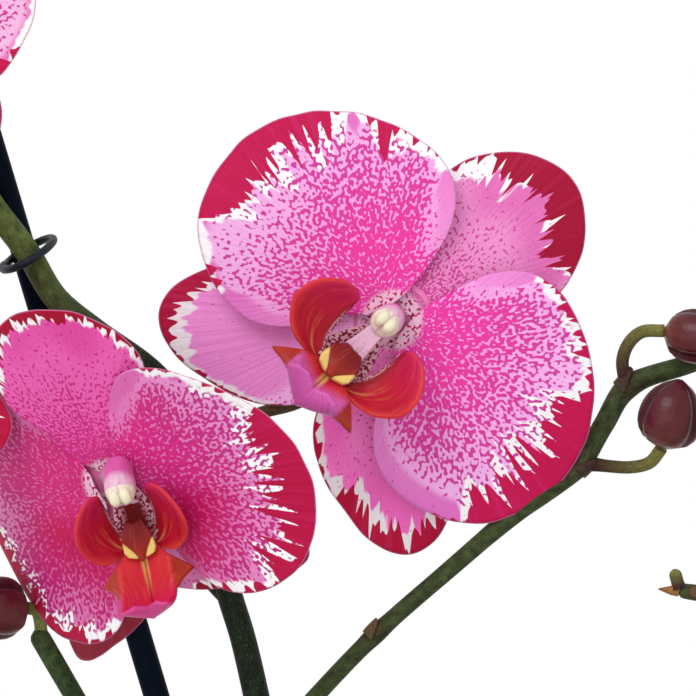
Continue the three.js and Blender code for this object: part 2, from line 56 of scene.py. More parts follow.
# Meshes from rows of points
def curve(points, count, closed=False):
    """A smooth curve through the points, with evenly spaced parameters between them."""
    p = np.array(points, float)
    if closed:
        p = np.vstack([p[-1:], p, p[:2]])
    else:
        p = np.vstack([2 * p[0] - p[1], p, 2 * p[-1] - p[-2]])
    spans = len(p) - 3
    found = []
    for place in np.linspace(0, spans, count, endpoint=not closed):
        first = min(int(place), spans - 1)
        a, b, c, d = p[first:first + 4]
        knots = np.cumsum([0] + [max(np.linalg.norm(v), TINY) ** 0.5 for v in (b - a, c - b, d - c)])
        t = knots[1] + (place - first) * (knots[2] - knots[1])

        def blend(v, w, low, high):
            return v + (w - v) * (t - knots[low]) / (knots[high] - knots[low])

        ab, bc, cd = blend(a, b, 0, 1), blend(b, c, 1, 2), blend(c, d, 2, 3)
        found.append(blend(blend(ab, bc, 0, 2), blend(bc, cd, 1, 3), 1, 2))
    return np.array(found)


def even(points, closed=False):
    """The same line with its points evenly spaced along it."""
    line = np.vstack([points, points[:1]]) if closed else points
    length = np.append(0, np.cumsum(steps_along(line)))
    places = np.linspace(0, length[-1], len(points), endpoint=not closed)
    return np.stack([np.interp(places, length, line[:, k]) for k in range(line.shape[1])], 1)


def steps_along(line):
    """The length of each step from one point of a line to the next."""
    return np.linalg.norm(np.diff(line, axis=0), axis=1)


def circle(sides):
    """Evenly spaced angles of a full turn, in radians."""
    return np.linspace(0, 2 * math.pi, sides, endpoint=False)


def smooth_noise(points):
    """Smooth noise, between about -1 and 1, at each point."""
    return np.array([noise.noise(Vector(p)) for p in points])


def spread(values, u):
    """Values spread evenly from 0 to 1, read at u."""
    return np.interp(u, np.linspace(0, 1, len(values)), values)


def unit(values):
    """The values, held between 0 and 1."""
    return np.clip(values, 0, 1)


def rgb(*colour):
    return np.array(colour)


def shade(low, high, share):
    """One colour for each point, part of the way from the low one to the high one."""
    share = unit(share)[:, None]
    return low * (1 - share) + high * share


def per_point(values, sides):
    """A limb's value for each ring, given to every point of the ring and to the two ends."""
    return np.concatenate([np.repeat(values, sides), values[[0, -1]]])


def surface_place(u, v, wide, deep):
    """Where each point of a sheet lies on its surface, in millimetres, for its material."""
    return np.stack([(2 * v - 1) * wide, u * deep, 0 * u], 1)


def vectors(mesh, name, values):
    """A vector for each point of a mesh, for its material."""
    layer = mesh.attributes.new(name, "FLOAT_VECTOR", "POINT")
    layer.data.foreach_set("vector", values.astype(np.float32).ravel())


def grid_faces(rows, columns, closed=False, offset=0):
    """Four-sided faces between the rows of a grid; a closed grid's rows are rings."""
    faces = []
    for i in range(rows - 1):
        for j in range(columns if closed else columns - 1):
            k = (j + 1) % columns
            faces.append((i * columns + j, i * columns + k, (i + 1) * columns + k, (i + 1) * columns + j))
    return [tuple(v + offset for v in face) for face in faces]


class Shape:
    """Points and faces of one piece, with values that its material reads at each point."""

    def __init__(self):
        self.points, self.faces, self.flat, self.tint = [], [], [], []
        self.extra = {}

    def add(self, points, faces, flat, tint, **extra):
        start = sum(len(p) for p in self.points)
        self.points.append(np.asarray(points, float))
        self.faces += [tuple(v + start for v in face) for face in faces]
        self.flat.append(np.asarray(flat, float))
        self.tint.append(np.broadcast_to(np.asarray(tint, float), (len(points), 3)))
        for key, values in extra.items():
            self.extra.setdefault(key, []).append(np.broadcast_to(np.asarray(values, float), len(points)))

    def limb(self, path, radii, sides, tint, flower=None, ridges=None):
        """Add a limb, moved with its flower; the tint may be found from its points."""
        points, faces, flat = limb(path, radii, sides, ridges)
        tint = tint(points) if callable(tint) else tint
        self.add(placed(points, flower) if flower else points, faces, flat, tint)

    def piece(self, name, slot):
        """The finished surface in the material of its slot; it replaces the solid of that name."""
        points = np.vstack(self.points) * METRES
        mesh = bpy.data.meshes.new(name + "_surface")
        mesh.from_pydata(points.tolist(), [], self.faces)
        vectors(mesh, "flat", np.vstack(self.flat))
        colours = mesh.color_attributes.new("tint", "FLOAT_COLOR", "POINT")
        rgba = np.hstack([np.vstack(self.tint), np.ones((len(points), 1))])
        colours.data.foreach_set("color", rgba.astype(np.float32).ravel())
        for key, parts in self.extra.items():
            layer = mesh.attributes.new(key, "FLOAT", "POINT")
            layer.data.foreach_set("value", np.concatenate(parts).astype(np.float32))
        mesh.polygons.foreach_set("use_smooth", [True] * len(mesh.polygons))
        mesh.materials.append(MATERIALS[slot])
        made = bpy.data.objects.new(name + "_surface", mesh)
        bpy.context.scene.collection.objects.link(made)
        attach(made, "root")
        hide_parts(name)
        return made


def one_mesh(name, slot, points, faces, flat, tint=(1, 1, 1)):
    """A piece made of a single mesh."""
    shape = Shape()
    shape.add(points, faces, flat, tint)
    shape.piece(name, slot)


def limb(path, radii, sides, ridges=None):
    """A round limb: points, faces, and each point's place around and along it in millimetres."""
    rings = len(path)
    radii = spread(radii, np.linspace(0, 1, rings))
    tangents = np.gradient(path, axis=0)
    tangents /= np.linalg.norm(tangents, axis=1)[:, None]
    side = np.array([0, 1, 0.0]) if abs(tangents[0][1]) < 0.9 else np.array([1.0, 0, 0])
    angles = circle(sides)
    length = np.append(0, np.cumsum(steps_along(path)))
    points, flat = [], []
    for i in range(rings):
        side = side - tangents[i] * side.dot(tangents[i])
        side /= np.linalg.norm(side)
        up = np.cross(tangents[i], side)
        radius = radii[i] * (ridges(angles, i / (rings - 1)) if ridges else np.ones(sides))
        ring = np.outer(np.cos(angles) * radius, side) + np.outer(np.sin(angles) * radius, up)
        points.append(path[i] + ring)
        wound = [np.cos(angles) * FLAT_RADIUS, np.sin(angles) * FLAT_RADIUS, np.full(sides, length[i])]
        flat.append(np.stack(wound, 1))
    faces = grid_faces(rings, sides, closed=True)
    points, flat = np.vstack(points), np.vstack(flat)
    for end, first, turn in ((0, 0, 1), (rings - 1, (rings - 1) * sides, -1)):
        centre = len(points)
        points = np.vstack([points, path[end]])
        flat = np.vstack([flat, [0, 0, length[end]]])
        for k in range(sides):
            pair = (first + k, first + (k + 1) % sides)
            faces.append((centre,) + (pair[::-1] if turn > 0 else pair))
    return points, faces, flat


def sheet(surface, rows, columns, thickness):
    """A thick sheet from a surface over u and v; the edge is thinner than the middle."""
    u, v = np.meshgrid(np.linspace(0, 1, rows), np.linspace(0, 1, columns), indexing="ij")
    middle = surface(u, v)
    du, dv = np.gradient(middle, axis=0), np.gradient(middle, axis=1)
    normal = np.cross(du, dv)
    normal /= np.maximum(np.linalg.norm(normal, axis=2), TINY)[:, :, None]
    edge = np.minimum(np.minimum(u, 1 - u) * rows, np.minimum(v, 1 - v) * columns) / 2
    full = SHEET_EDGE + (1 - SHEET_EDGE) * unit(edge)
    half = (thickness / 2 * full)[:, :, None] * normal
    front, back = (middle + half).reshape(-1, 3), (middle - half).reshape(-1, 3)
    count = rows * columns
    faces = grid_faces(rows, columns)
    faces = [f[::-1] for f in faces] + [tuple(k + count for k in f) for f in faces]
    rim = [i * columns for i in range(rows - 1)] + [(rows - 1) * columns + j for j in range(columns - 1)]
    rim += [i * columns + columns - 1 for i in range(rows - 1, 0, -1)] + list(range(columns - 1, 0, -1))
    for k, a in enumerate(rim):
        b = rim[(k + 1) % len(rim)]
        faces.append((b, a, a + count, b + count))
    return np.vstack([front, back]), faces, np.tile(u.ravel(), 2), np.tile(v.ravel(), 2)


def lathe(profile, sides):
    """A turned solid from (radius, height) points that start and end on the axis."""
    angles = circle(sides)
    inner = [p for p in profile if p[0] > TINY]
    rows = [np.stack([r * np.cos(angles), r * np.sin(angles), np.full(sides, z)], 1) for r, z in inner]
    points = np.vstack(rows + [np.array([[0, 0, profile[0][1]], [0, 0, profile[-1][1]]])])
    faces = grid_faces(len(inner), sides, closed=True)
    first, last = len(inner) * sides, len(inner) * sides + 1
    end = (len(inner) - 1) * sides
    for k in range(sides):
        n = (k + 1) % sides
        faces += [(first, n, k), (last, end + k, end + n)]
    return points, faces


# Materials
# The numbers of a mix node's sockets when it mixes colours
MIX_SHARE, MIX_FIRST, MIX_SECOND, MIX_RESULT = 0, 6, 7, 2


class Shader:
    """One node material, with short ways to add the nodes that it is made of."""

    def __init__(self, name, **fixed):
        self.material = bpy.data.materials.new(name)
        self.material.use_nodes = True
        self.tree = self.material.node_tree
        self.surface = self.tree.nodes["Principled BSDF"]
        for socket, value in fixed.items():
            self.surface.inputs[socket.replace("_", " ")].default_value = value

    def node(self, kind, inputs, **settings):
        made = self.tree.nodes.new("ShaderNode" + kind)
        for key, value in settings.items():
            setattr(made, key, value)
        for key, value in inputs.items():
            if isinstance(value, bpy.types.NodeSocket):
                self.tree.links.new(value, made.inputs[key])
            else:
                made.inputs[key].default_value = value
        return made

    def math(self, operation, *values):
        return self.node("Math", dict(enumerate(values)), operation=operation).outputs[0]

    def plus(self, first, second):
        return self.math("ADD", first, second)

    def minus(self, first, second):
        return self.math("SUBTRACT", first, second)

    def times(self, first, second):
        return self.math("MULTIPLY", first, second)

    def step(self, value, low, high):
        """0 below low and 1 above high, smooth between them; low may be the larger."""
        ranged = self.node("MapRange", {"Value": value, "From Min": low, "From Max": high},
                           interpolation_type="SMOOTHSTEP")
        return ranged.outputs[0]

    def mix(self, share, first, second, blend="MIX"):
        """The first colour, with a share of the second mixed or multiplied into it."""
        inputs = {MIX_SHARE: share}
        for key, colour in ((MIX_FIRST, first), (MIX_SECOND, second)):
            inputs[key] = (*colour, 1) if isinstance(colour, tuple) else colour
        return self.node("Mix", inputs, data_type="RGBA", blend_type=blend).outputs[MIX_RESULT]

    def multiply(self, first, second):
        return self.mix(1, first, second, "MULTIPLY")

    def ridge(self, value, width):
        """1 where the value is one half, falling straight to 0 at the width from it."""
        away = self.math("ABSOLUTE", self.minus(value, 0.5))
        return self.node("MapRange", {"Value": away, "From Min": width, "From Max": 0.0}).outputs[0]

    def attribute(self, name, output="Fac"):
        return self.node("Attribute", {}, attribute_name=name).outputs[output]

    def scaled(self, vector, x, y, z, shift=(0, 0, 0)):
        return self.node("Mapping", {"Vector": vector, "Scale": (x, y, z), "Location": shift}).outputs[0]

    def noise(self, vector, scale=1.0, detail=2.0, distortion=0.0):
        made = self.node("TexNoise", {"Vector": vector, "Scale": scale, "Detail": detail,
                                      "Distortion": distortion})
        return made.outputs["Fac"]

    def finish(self, colour, roughness=None, height=None, depth=0):
        """Join colour, roughness and a height that stands for this depth in millimetres."""
        self.tree.links.new(colour, self.surface.inputs["Base Color"])
        if roughness is not None:
            self.tree.links.new(roughness, self.surface.inputs["Roughness"])
        if height is not None:
            bump = self.node("Bump", {"Height": height, "Distance": depth * METRES, "Strength": 1.0})
            self.tree.links.new(bump.outputs[0], self.surface.inputs["Normal"])
        return self.material


# Noise over the fan of a petal: how fine it is round and along the fan, its shift and its detail
FAN_NOISE = {
    "tooth": (0.34, 0.02, (0, 0, 0), 0.4),
    "notch": (0.36, 0.024, (5, 0, 3), 0.4),
    "broad": (0.13, 0.01, (9, 0, 0), 0.0),
    "jag": (0.33, 0.04, (3, 7, 0), 1.5),
    "vein": (0.9, 0.03, (1, 5, 0), 2.0),
}
# How wide the ridges of those noises are, in the noise's own units
TOOTH_WIDTH = 0.14
NOTCH_WIDTH = 0.07
JAG_WIDTH = 0.2
# Half the width in millimetres over which crimson and white end
CRIMSON_BLUR = 0.16
WHITE_BLUR = 0.45
# The noise level above which a spot shows, and how far full cover lowers it
SPOT_LEVEL = 0.79
SPOT_GAIN = 0.34
SPOT_BLUR = 0.03
# Millimetres from the margin between which spots fade in, and between which the outer colour starts
SPOT_RIM = (1.2, 3.5)
OUTER_REACH = (8, 24)
WHITE_TISSUE = (0.80, 0.77, 0.80)
CLAW_PINK = (0.76, 0.46, 0.62)
RIM_PINK = (0.52, 0.17, 0.36)
BACK_PINK = (0.60, 0.27, 0.42)
BACK_SHARE = 0.6
# How much lighter the fine streaks in the crimson are
STREAK_GAIN = (1.2, 4, 1.9)


def petal_material(name, heart, ground, halo, outer, spot, heart_spot, crimson, spot_scale, grain_depth):
    """Petal tissue: a spotted heart, a smooth outer ground, and white and crimson at the margin."""
    s = Shader(name, Subsurface_Weight=0.05, Subsurface_Scale=0.002, Specular_IOR_Level=0.12)
    flat = s.attribute("flat", "Vector")
    fan = s.attribute("fan", "Vector")
    rim, cover, near = (s.attribute(key) for key in ("rim", "cover", "heart"))
    tint = s.attribute("tint", "Color")
    field = {key: s.noise(s.scaled(fan, wide, deep, 1, shift), detail=detail)
             for key, (wide, deep, shift, detail) in FAN_NOISE.items()}
    # Teeth run in from the margin, sharp where a noise round the petal crosses its middle
    tooth = s.ridge(field["tooth"], TOOTH_WIDTH)
    notch = s.ridge(field["notch"], NOTCH_WIDTH)
    broad = s.step(field["broad"], 0.3, 0.7)
    reach_in = s.plus(s.times(tooth, 0.7), s.times(broad, 0.3))
    reach_in = s.plus(reach_in, s.times(s.minus(0.3, notch), 0.6))
    length = s.plus(s.attribute("solid"), s.times(s.attribute("teeth"), reach_in))
    red = s.step(s.minus(rim, length), CRIMSON_BLUR, -CRIMSON_BLUR)
    jag = s.ridge(field["jag"], JAG_WIDTH)
    hem = s.plus(s.plus(s.times(jag, 0.55), s.times(broad, 0.3)), 0.3)
    hem = s.times(s.attribute("white"), hem)
    white = s.step(s.minus(rim, hem), WHITE_BLUR, -WHITE_BLUR)
    # Spots: joined into a network near the heart, single dots further out, then none
    dots = s.noise(s.scaled(flat, spot_scale, spot_scale, 1), detail=0.2, distortion=0.15)
    level = s.minus(SPOT_LEVEL, s.times(cover, SPOT_GAIN))
    spots = s.step(s.minus(dots, level), -SPOT_BLUR, SPOT_BLUR)
    spotted = s.step(cover, 0.12, 0.4)
    grain = s.noise(flat, scale=3.1, detail=2.0)
    far = s.step(s.attribute("reach"), *OUTER_REACH)
    base = s.mix(s.times(spotted, 0.9), ground, s.mix(far, halo, outer))
    base = s.mix(near, base, heart)
    base = s.mix(s.times(s.step(grain, 0.35, 0.7), grain_depth), base, spot)
    ink = s.mix(near, spot, heart_spot)
    base = s.multiply(s.mix(spots, base, ink), tint)
    # Over that the white, the crimson, the pale claw, the fine rim and the duller back
    blank = s.mix(s.times(spots, s.step(rim, *SPOT_RIM)), WHITE_TISSUE, s.multiply(ink, tint))
    base = s.mix(white, base, blank)
    shot = s.times(s.step(field["vein"], 0.5, 0.72), 0.5)
    rich = s.mix(shot, crimson, tuple(c * gain for c, gain in zip(crimson, STREAK_GAIN)))
    base = s.mix(red, base, s.multiply(rich, tint))
    claw = s.mix(s.step(s.noise(flat, scale=0.8, detail=0.0), 0.57, 0.62), CLAW_PINK, crimson)
    base = s.mix(s.step(s.attribute("claw"), 0.25, 0.85), base, claw)
    base = s.mix(s.times(s.step(rim, 0.4, 0.1), 0.7), base, RIM_PINK)
    colour = s.mix(s.attribute("front"), s.mix(BACK_SHARE, base, BACK_PINK), base)
    height = s.plus(s.times(field["vein"], far), s.times(grain, 0.25))
    rough = s.plus(s.times(grain, 0.2), 0.42)
    return s.finish(colour, rough, height, 0.4)


LIP_STREAK = (0.58, 0.14, 0.05)
LIP_SHADOW = (0.6, 0.45, 0.5)
THROAT_PALE = (0.62, 0.32, 0.40)
THROAT_SPOT = (0.20, 0.008, 0.03)


def lip_material():
    """Lip tissue: a tint by place, with fine bright streaks and dark spots near the throat."""
    s = Shader("lip_tissue", Coat_Weight=0.05, Coat_Roughness=0.3, Subsurface_Weight=0.04,
               Subsurface_Scale=0.001, Specular_IOR_Level=0.12)
    flat = s.attribute("flat", "Vector")
    tint = s.attribute("tint", "Color")
    lines = s.noise(s.scaled(flat, 1.3, 0.13, 1), detail=2.0)
    soft = s.noise(flat, scale=0.35, detail=2.0)
    dots = s.noise(flat, scale=1.25, detail=0.0)
    streaks = s.times(s.step(lines, 0.57, 0.66), s.attribute("streak"))
    base = s.mix(streaks, tint, LIP_STREAK)
    base = s.mix(s.times(s.step(lines, 0.45, 0.3), 0.5), base, s.multiply(tint, LIP_SHADOW))
    base = s.mix(s.times(s.step(soft, 0.45, 0.75), 0.25), base, tint)
    throat = s.mix(s.step(dots, 0.5, 0.55), THROAT_PALE, THROAT_SPOT)
    colour = s.mix(s.attribute("spotted"), base, throat)
    height = s.plus(lines, s.times(dots, 0.3))
    rough = s.plus(s.times(lines, 0.25), 0.28)
    return s.finish(colour, rough, height, 0.16)


# What the streaks of the other tissues multiply their tint by
STREAK_SHADOW = (0.55, 0.5, 0.5)


def living_material(name, speckle, speckle_scale, speckle_level, roughness, coat, bump,
                    stretch=(1, 1, 0.25), streaks=0.3, specular=0.4):
    """Columns, stems, buds, leaves, roots and bark: a tint by place, with streaks and speckles."""
    s = Shader(name, Coat_Weight=coat, Coat_Roughness=0.25, Specular_IOR_Level=specular,
               Subsurface_Weight=0.04, Subsurface_Scale=0.001)
    flat = s.attribute("flat", "Vector")
    tint = s.attribute("tint", "Color")
    lines = s.noise(s.scaled(flat, *stretch), scale=1.4, detail=3.0)
    patches = s.noise(flat, scale=0.22, detail=3.0)
    dots = s.noise(flat, scale=speckle_scale, detail=2.0)
    darker = s.mix(s.times(s.step(lines, 0.35, 0.7), streaks), tint, STREAK_SHADOW, "MULTIPLY")
    colour = s.mix(s.times(s.step(patches, 0.3, 0.75), 0.3), darker, tint)
    colour = s.mix(s.step(dots, speckle_level, speckle_level + 0.08), colour, speckle)
    rough = s.plus(s.times(dots, 0.3), roughness - 0.15)
    height = s.plus(lines, s.times(dots, 0.6))
    return s.finish(colour, rough, height, bump)


def plain_material(name, colour, second, scale, roughness, bump, **fixed):
    """Made surfaces: one colour with a soft second shade, fine marks and a slight texture."""
    s = Shader(name, **fixed)
    flat = s.attribute("flat", "Vector")
    clouds = s.noise(flat, scale=scale, detail=4.0)
    marks = s.noise(flat, scale=scale * 14, detail=2.0)
    tone = s.mix(s.step(clouds, 0.35, 0.7), colour, second)
    rough = s.plus(s.times(marks, 0.2), roughness - 0.1)
    return s.finish(tone, rough, s.plus(clouds, s.times(marks, 0.4)), bump)


MATERIALS = {
    "petal": petal_material("petal_tissue", heart=(0.75, 0.27, 0.60), ground=(0.61, 0.135, 0.44),
                            halo=(0.72, 0.28, 0.62), outer=(0.74, 0.40, 0.69), spot=(0.47, 0.04, 0.26),
                            heart_spot=(0.67, 0.034, 0.29), crimson=(0.43, 0.003, 0.062),
                            spot_scale=1.2, grain_depth=0.08),
    "sepal": petal_material("sepal_tissue", heart=(0.755, 0.268, 0.555), ground=(0.64, 0.15, 0.42),
                            halo=(0.74, 0.26, 0.54), outer=(0.74, 0.28, 0.56), spot=(0.50, 0.05, 0.25),
                            heart_spot=(0.60, 0.06, 0.29), crimson=(0.30, 0.003, 0.03),
                            spot_scale=1.4, grain_depth=0.3),
    "lip": lip_material(),
    "column": living_material("column_tissue", speckle=(0.55, 0.12, 0.3), speckle_scale=1.1,
                              speckle_level=0.66, roughness=0.38, coat=0.1, bump=0.15),
    "stem": living_material("stem_tissue", speckle=(0.05, 0.075, 0.03), speckle_scale=2.6,
                            speckle_level=0.6, roughness=0.55, coat=0.0, bump=0.28, streaks=0.85,
                            stretch=(1, 1, 0.6), specular=0.1),
    "bud": living_material("bud_tissue", speckle=(0.05, 0.01, 0.012), speckle_scale=1.8,
                           speckle_level=0.66, roughness=0.34, coat=0.12, bump=0.12,
                           stretch=(1, 1, 0.12), streaks=0.6, specular=0.2),
    "leaf": living_material("leaf_tissue", speckle=(0.03, 0.09, 0.02), speckle_scale=0.9,
                            speckle_level=0.68, roughness=0.4, coat=0.2, bump=0.25,
                            stretch=(0.6, 0.03, 1), streaks=0.35),
    "root": living_material("root_tissue", speckle=(0.16, 0.2, 0.1), speckle_scale=1.2,
                            speckle_level=0.6, roughness=0.75, coat=0.0, bump=0.3),
    "bark": living_material("bark_tissue", speckle=(0.03, 0.015, 0.01), speckle_scale=0.9,
                            speckle_level=0.55, roughness=0.9, coat=0.0, bump=0.9, streaks=0.8),
    "stake": plain_material("stake_coat", (0.001, 0.003, 0.008), (0.002, 0.005, 0.012), 0.12, 0.5, 0.08,
                            Specular_IOR_Level=0.03),
    "clip": plain_material("clip_plastic", (0.006, 0.01, 0.014), (0.012, 0.017, 0.022), 0.4, 0.45, 0.06,
                           Specular_IOR_Level=0.15),
    "grow_pot": plain_material("grow_pot_plastic", (0.5, 0.55, 0.52), (0.42, 0.47, 0.44), 0.05, 0.3, 0.1,
                               Alpha=0.75),
    "ceramic_pot": plain_material("pot_glaze", (0.80, 0.78, 0.74), (0.76, 0.74, 0.69), 0.02, 0.2, 0.12,
                                  Coat_Weight=0.5, Coat_Roughness=0.08),
}

# Petals and sepals: outlines and poses close to those of the solids, with wider claws
CLAW_RADIUS = 3.2
SEPAL_DROP = 1.7
CLAW_LENGTH = 9.0
# Crimson is solid to this share of its depth, beyond the depth that is all teeth
TOOTH_DEPTH = 3.5
SOLID_SHARE = 0.42
RADIAL_SHARE = 0.8
SMOOTH_HEM = 3.0
COLLAR = 8.5
# The point from which a petal's angles and reach are counted, and the fan's radius in its material
FAN_CENTRE = np.array([0.0, 4.0])
FAN_RADIUS = 32
BEND_LENGTH = 50
BEND_WIDTH = 20
WAVE_HEIGHT = 1.1
CHANNEL_DEPTH = 0.5
CHANNEL_WIDTH = 2.2
HALF_THICKNESS = 0.34
HALF_EDGE = 0.02
RIPPLE = 0.009
# Noise round a petal: how fine it is, and how far apart the noises of two organs lie
RIPPLE_NOISE = (7, 2.3)
WAVE_NOISE = (2.2, 3.7)
PATCH_NOISE = (2.6, 1.3)
# The number of points round an organ, of rings, and of steps on the outline for each point
AROUND = 128
RINGS = 34
OUTLINE_STEPS = 6
RING_CROWDING = 0.85
# Cover with spots, and the glowing heart: value at the middle, and millimetres to fall by one
SPOT_SPREAD = {"petal": (1.38, 46), "dorsal": (1.05, 34), "lateral": (0.55, 60)}
HEART_SPREAD = {"petal": (1.4, 27), "sepal": (0.9, 14)}
MAX_COVER = 1.2
PETAL_OUTLINE = [
    (3.6, 0.3), (9, 1.8), (16, 5), (22.5, 9), (27.5, 15.5), (28.2, 24), (24, 33.3), (17, 42), (8.8, 47.8),
    (0, 50.7), (-10, 50.8), (-19.2, 47.4), (-26.4, 41.8), (-30.4, 34.1), (-31.8, 23), (-29.3, 14.2),
    (-22.5, 8), (-12, 4.5), (-7, 2.6), (-3.6, 0.3),
]
LATERAL_OUTLINE = [
    (2.2, 0.3), (4, 3.5), (9.5, 11), (12.5, 19), (13, 27), (11.5, 35), (7.5, 45), (3.3, 51), (-1.8, 53.7),
    (-6.8, 53), (-12, 49.5), (-16, 43.5), (-20.1, 35), (-22, 25.8), (-20.8, 18), (-14, 9.5), (-5, 3.5),
    (-2.2, 0.3),
]
DORSAL_HALF = [
    (2.2, 0.3), (5, 3.5), (11.5, 13.8), (17.6, 22), (19.2, 29.5), (17.3, 37), (13.5, 42.8), (7.6, 47.8),
]


def mirror(outline):
    """The outline with its sides swapped, still running the same way round."""
    return [(-x, y) for x, y in reversed(outline)]


OUTLINES = {
    "dorsal_sepal": DORSAL_HALF + [(0, 49.9)] + mirror(DORSAL_HALF),
    "petal_left": PETAL_OUTLINE,
    "petal_right": mirror(PETAL_OUTLINE),
    "lateral_sepal_left": LATERAL_OUTLINE,
    "lateral_sepal_right": mirror(LATERAL_OUTLINE),
}
# The organs of a flower that faces the viewer. Pose: angle round the flower, backward tilt, bow of
# the tip, curl of the sides, scale, breadth, and how much of the breadth is pinched off at the tip.
# The margin's bands are sectors: middle angle and half width in degrees round the fan, and depth in
# mm. Crimson is toothed, solid is its unbroken part, and white lies between crimson and ground
USUAL = {
    "dorsal_sepal": {
        "pose": (86, 10, 3, 3, 1, 1, 0), "crimson": [(88, 27, 12), (120, 8, 2)],
        "solid": [(86, 20, 6)], "white": [(92, 31, 11), (122, 10, 4)]},
    "petal_left": {
        "pose": (168, 6, 4, 0, 1, 1, 0), "solid": [(112, 15, 8)],
        "crimson": [(100, 27, 15), (57, 4, 10), (63, 2, 3), (48, 3, 3), (40, 4, 2.5), (143, 5, 3)],
        "white": [(99, 29, 19), (57, 10, 8), (44, 8, 4), (36, 6, 3), (134, 8, 2.5), (145, 6, 2)]},
    "petal_right": {
        # Its tint is painted light: a slight brightening of the whole petal that offsets the shade on its
        # lower, down-facing part
        "pose": (11, 6, 4, 0, 1, 1, 0), "tint": (1.05, 1.08, 1.08), "solid": [(84, 20, 6.5)],
        "crimson": [(80, 29, 16), (119, 14, 3.5), (140, 12, 3), (45, 4, 1.5)],
        "white": [(82, 32, 19), (122, 20, 5), (145, 10, 3)]},
    "lateral_sepal_left": {
        # Its tint is partly the sepal's own paler colour and partly painted light, brightening a sepal that
        # sits in shade under the petals
        "pose": (224.5, 10, 3, 2, 1, 1, 0), "tint": (1.25, 1.95, 1.58), "solid": [(70, 16, 5)],
        "crimson": [(88, 14, 8), (68, 18, 9), (112, 14, 1.5), (130, 12, 1)],
        "white": [(90, 18, 9), (66, 18, 9.5), (115, 25, 2)]},
    "lateral_sepal_right": {
        # Its tint is partly the sepal's own paler colour and partly painted light, brightening a sepal that
        # sits in shade under the petals
        "pose": (324, 10, 3, 2, 1, 1, 0), "tint": (1.34, 1.05, 1.28),
        "crimson": [(82, 22, 9), (46, 14, 3)], "white": [(82, 26, 10), (44, 18, 3)]},
}
# The same for the nodding flower, which is a little deeper and redder
NODDING = {
    "dorsal_sepal": {
        "pose": (85.5, -12, 0, 4.8, 0.92, 1.08, 0), "tint": (1.0, 0.42, 0.75),
        "crimson": [(95, 45, 4.5), (60, 12, 2)], "white": [(104, 30, 5), (70, 26, 3)]},
    "petal_left": {
        "pose": (186, 16.2, 8.5, -3, 0.93, 1.2, 0), "tint": (0.82, 0.42, 0.56), "flush": -1,
        "crimson": [(125, 36, 6.5)], "white": [(125, 40, 8.5)]},
    "petal_right": {
        "pose": (2.5, -12.2, 3, -2.5, 0.985, 0.98, 0), "tint": (0.88, 0.58, 0.7), "flush": 1,
        "crimson": [(76, 32, 16), (30, 14, 3), (120, 8, 2), (140, 8, 1.5)], "solid": [(72, 22, 6)],
        "white": [(78, 36, 18), (120, 12, 5), (140, 10, 2.5), (30, 14, 3.5)]},
    "lateral_sepal_left": {
        "pose": (230, 16.2, 3, 0, 1.2, 0.68, 0.3), "tint": (0.85, 0.7, 0.75),
        "crimson": [(90, 40, 12)], "solid": [(90, 40, 10)], "white": [(84, 46, 12)]},
    "lateral_sepal_right": {
        "pose": (302, 29.8, 4, 0, 0.955, 1, 0), "tint": (0.85, 0.7, 0.75),
        "crimson": [(88, 34, 7)], "white": [(88, 34, 9)]},
}
# The flower at the top left is paler, with crimson only low on its right petal's margin
PALE = {**USUAL, "petal_right": {
    **USUAL["petal_right"], "tint": (1.0, 1.05, 0.92), "crimson": [(52, 12, 6)], "white": [(90, 50, 2)]}}
# The crimson flush on the side of a petal next to the lip: its colour, width, distance and length
FLUSH = rgb(0.85, 0.22, 0.45)
FLUSH_WIDTH = 8
FLUSH_REACH = 16
FLUSH_LENGTH = 11
# The face is where the lip and column sit, where that differs from the rest of the flower
FLOWERS = {
    "flower_a": {"organs": USUAL, "centre": (-19.7, 0, 446.4), "turn": (-4, 4, -48), "size": 1,
                 "face": {"centre": (-20.2, 0, 447)}},
    "flower_b": {"organs": NODDING, "centre": (-83.8, -21, 408.5), "turn": (-21.8, 24.8, 12.9),
                 "size": 1, "spotting": 0.2,
                 "face": {"centre": (-81.5, -27.5, 414.2), "turn": (2.7, 37, 17), "breadth": 0.8,
                          "tongue": 0.3, "lobes": 0.84, "blush": 0}},
    "flower_c": {"organs": PALE, "centre": (-148.4, 0, 528), "turn": (-34, 6, -12), "size": 0.96},
    "flower_d": {"organs": USUAL, "centre": (-151.8, -9.8, 438), "turn": (-30, 10, 15), "size": 0.86},
    "flower_e": {"organs": USUAL, "centre": (150, -4, 500), "turn": (16, 8, 10), "size": 0.98},
}


def placed(points, flower):
    """Points of a flower, given as right, up and forward, turned and moved to its place."""
    yaw, pitch, roll = (math.radians(a) for a in flower["turn"])
    x, y, z = (np.asarray(points, float) * [flower.get("breadth", 1), 1, 1] * flower["size"]).T
    x, y = x * math.cos(roll) - y * math.sin(roll), x * math.sin(roll) + y * math.cos(roll)
    y, z = y * math.cos(pitch) - z * math.sin(pitch), y * math.sin(pitch) + z * math.cos(pitch)
    x, z = x * math.cos(yaw) + z * math.sin(yaw), -x * math.sin(yaw) + z * math.cos(yaw)
    return np.stack([x, -z, y], 1) + np.array(flower["centre"])


def band(degrees, sectors):
    """Depth in mm of a margin band at each angle, from its sectors."""
    depth = np.zeros(len(degrees))
    for middle, width, reach in sectors:
        away = (degrees - middle) / width
        depth = np.maximum(depth, reach * unit(1 - away ** 2) ** 0.6)
    return depth


def ring_noise(turns, kind, seed):
    """Smooth noise round a circle, at each turn in radians."""
    fine, apart = kind
    return smooth_noise([(math.cos(t) * fine, math.sin(t) * fine, seed * apart) for t in turns])


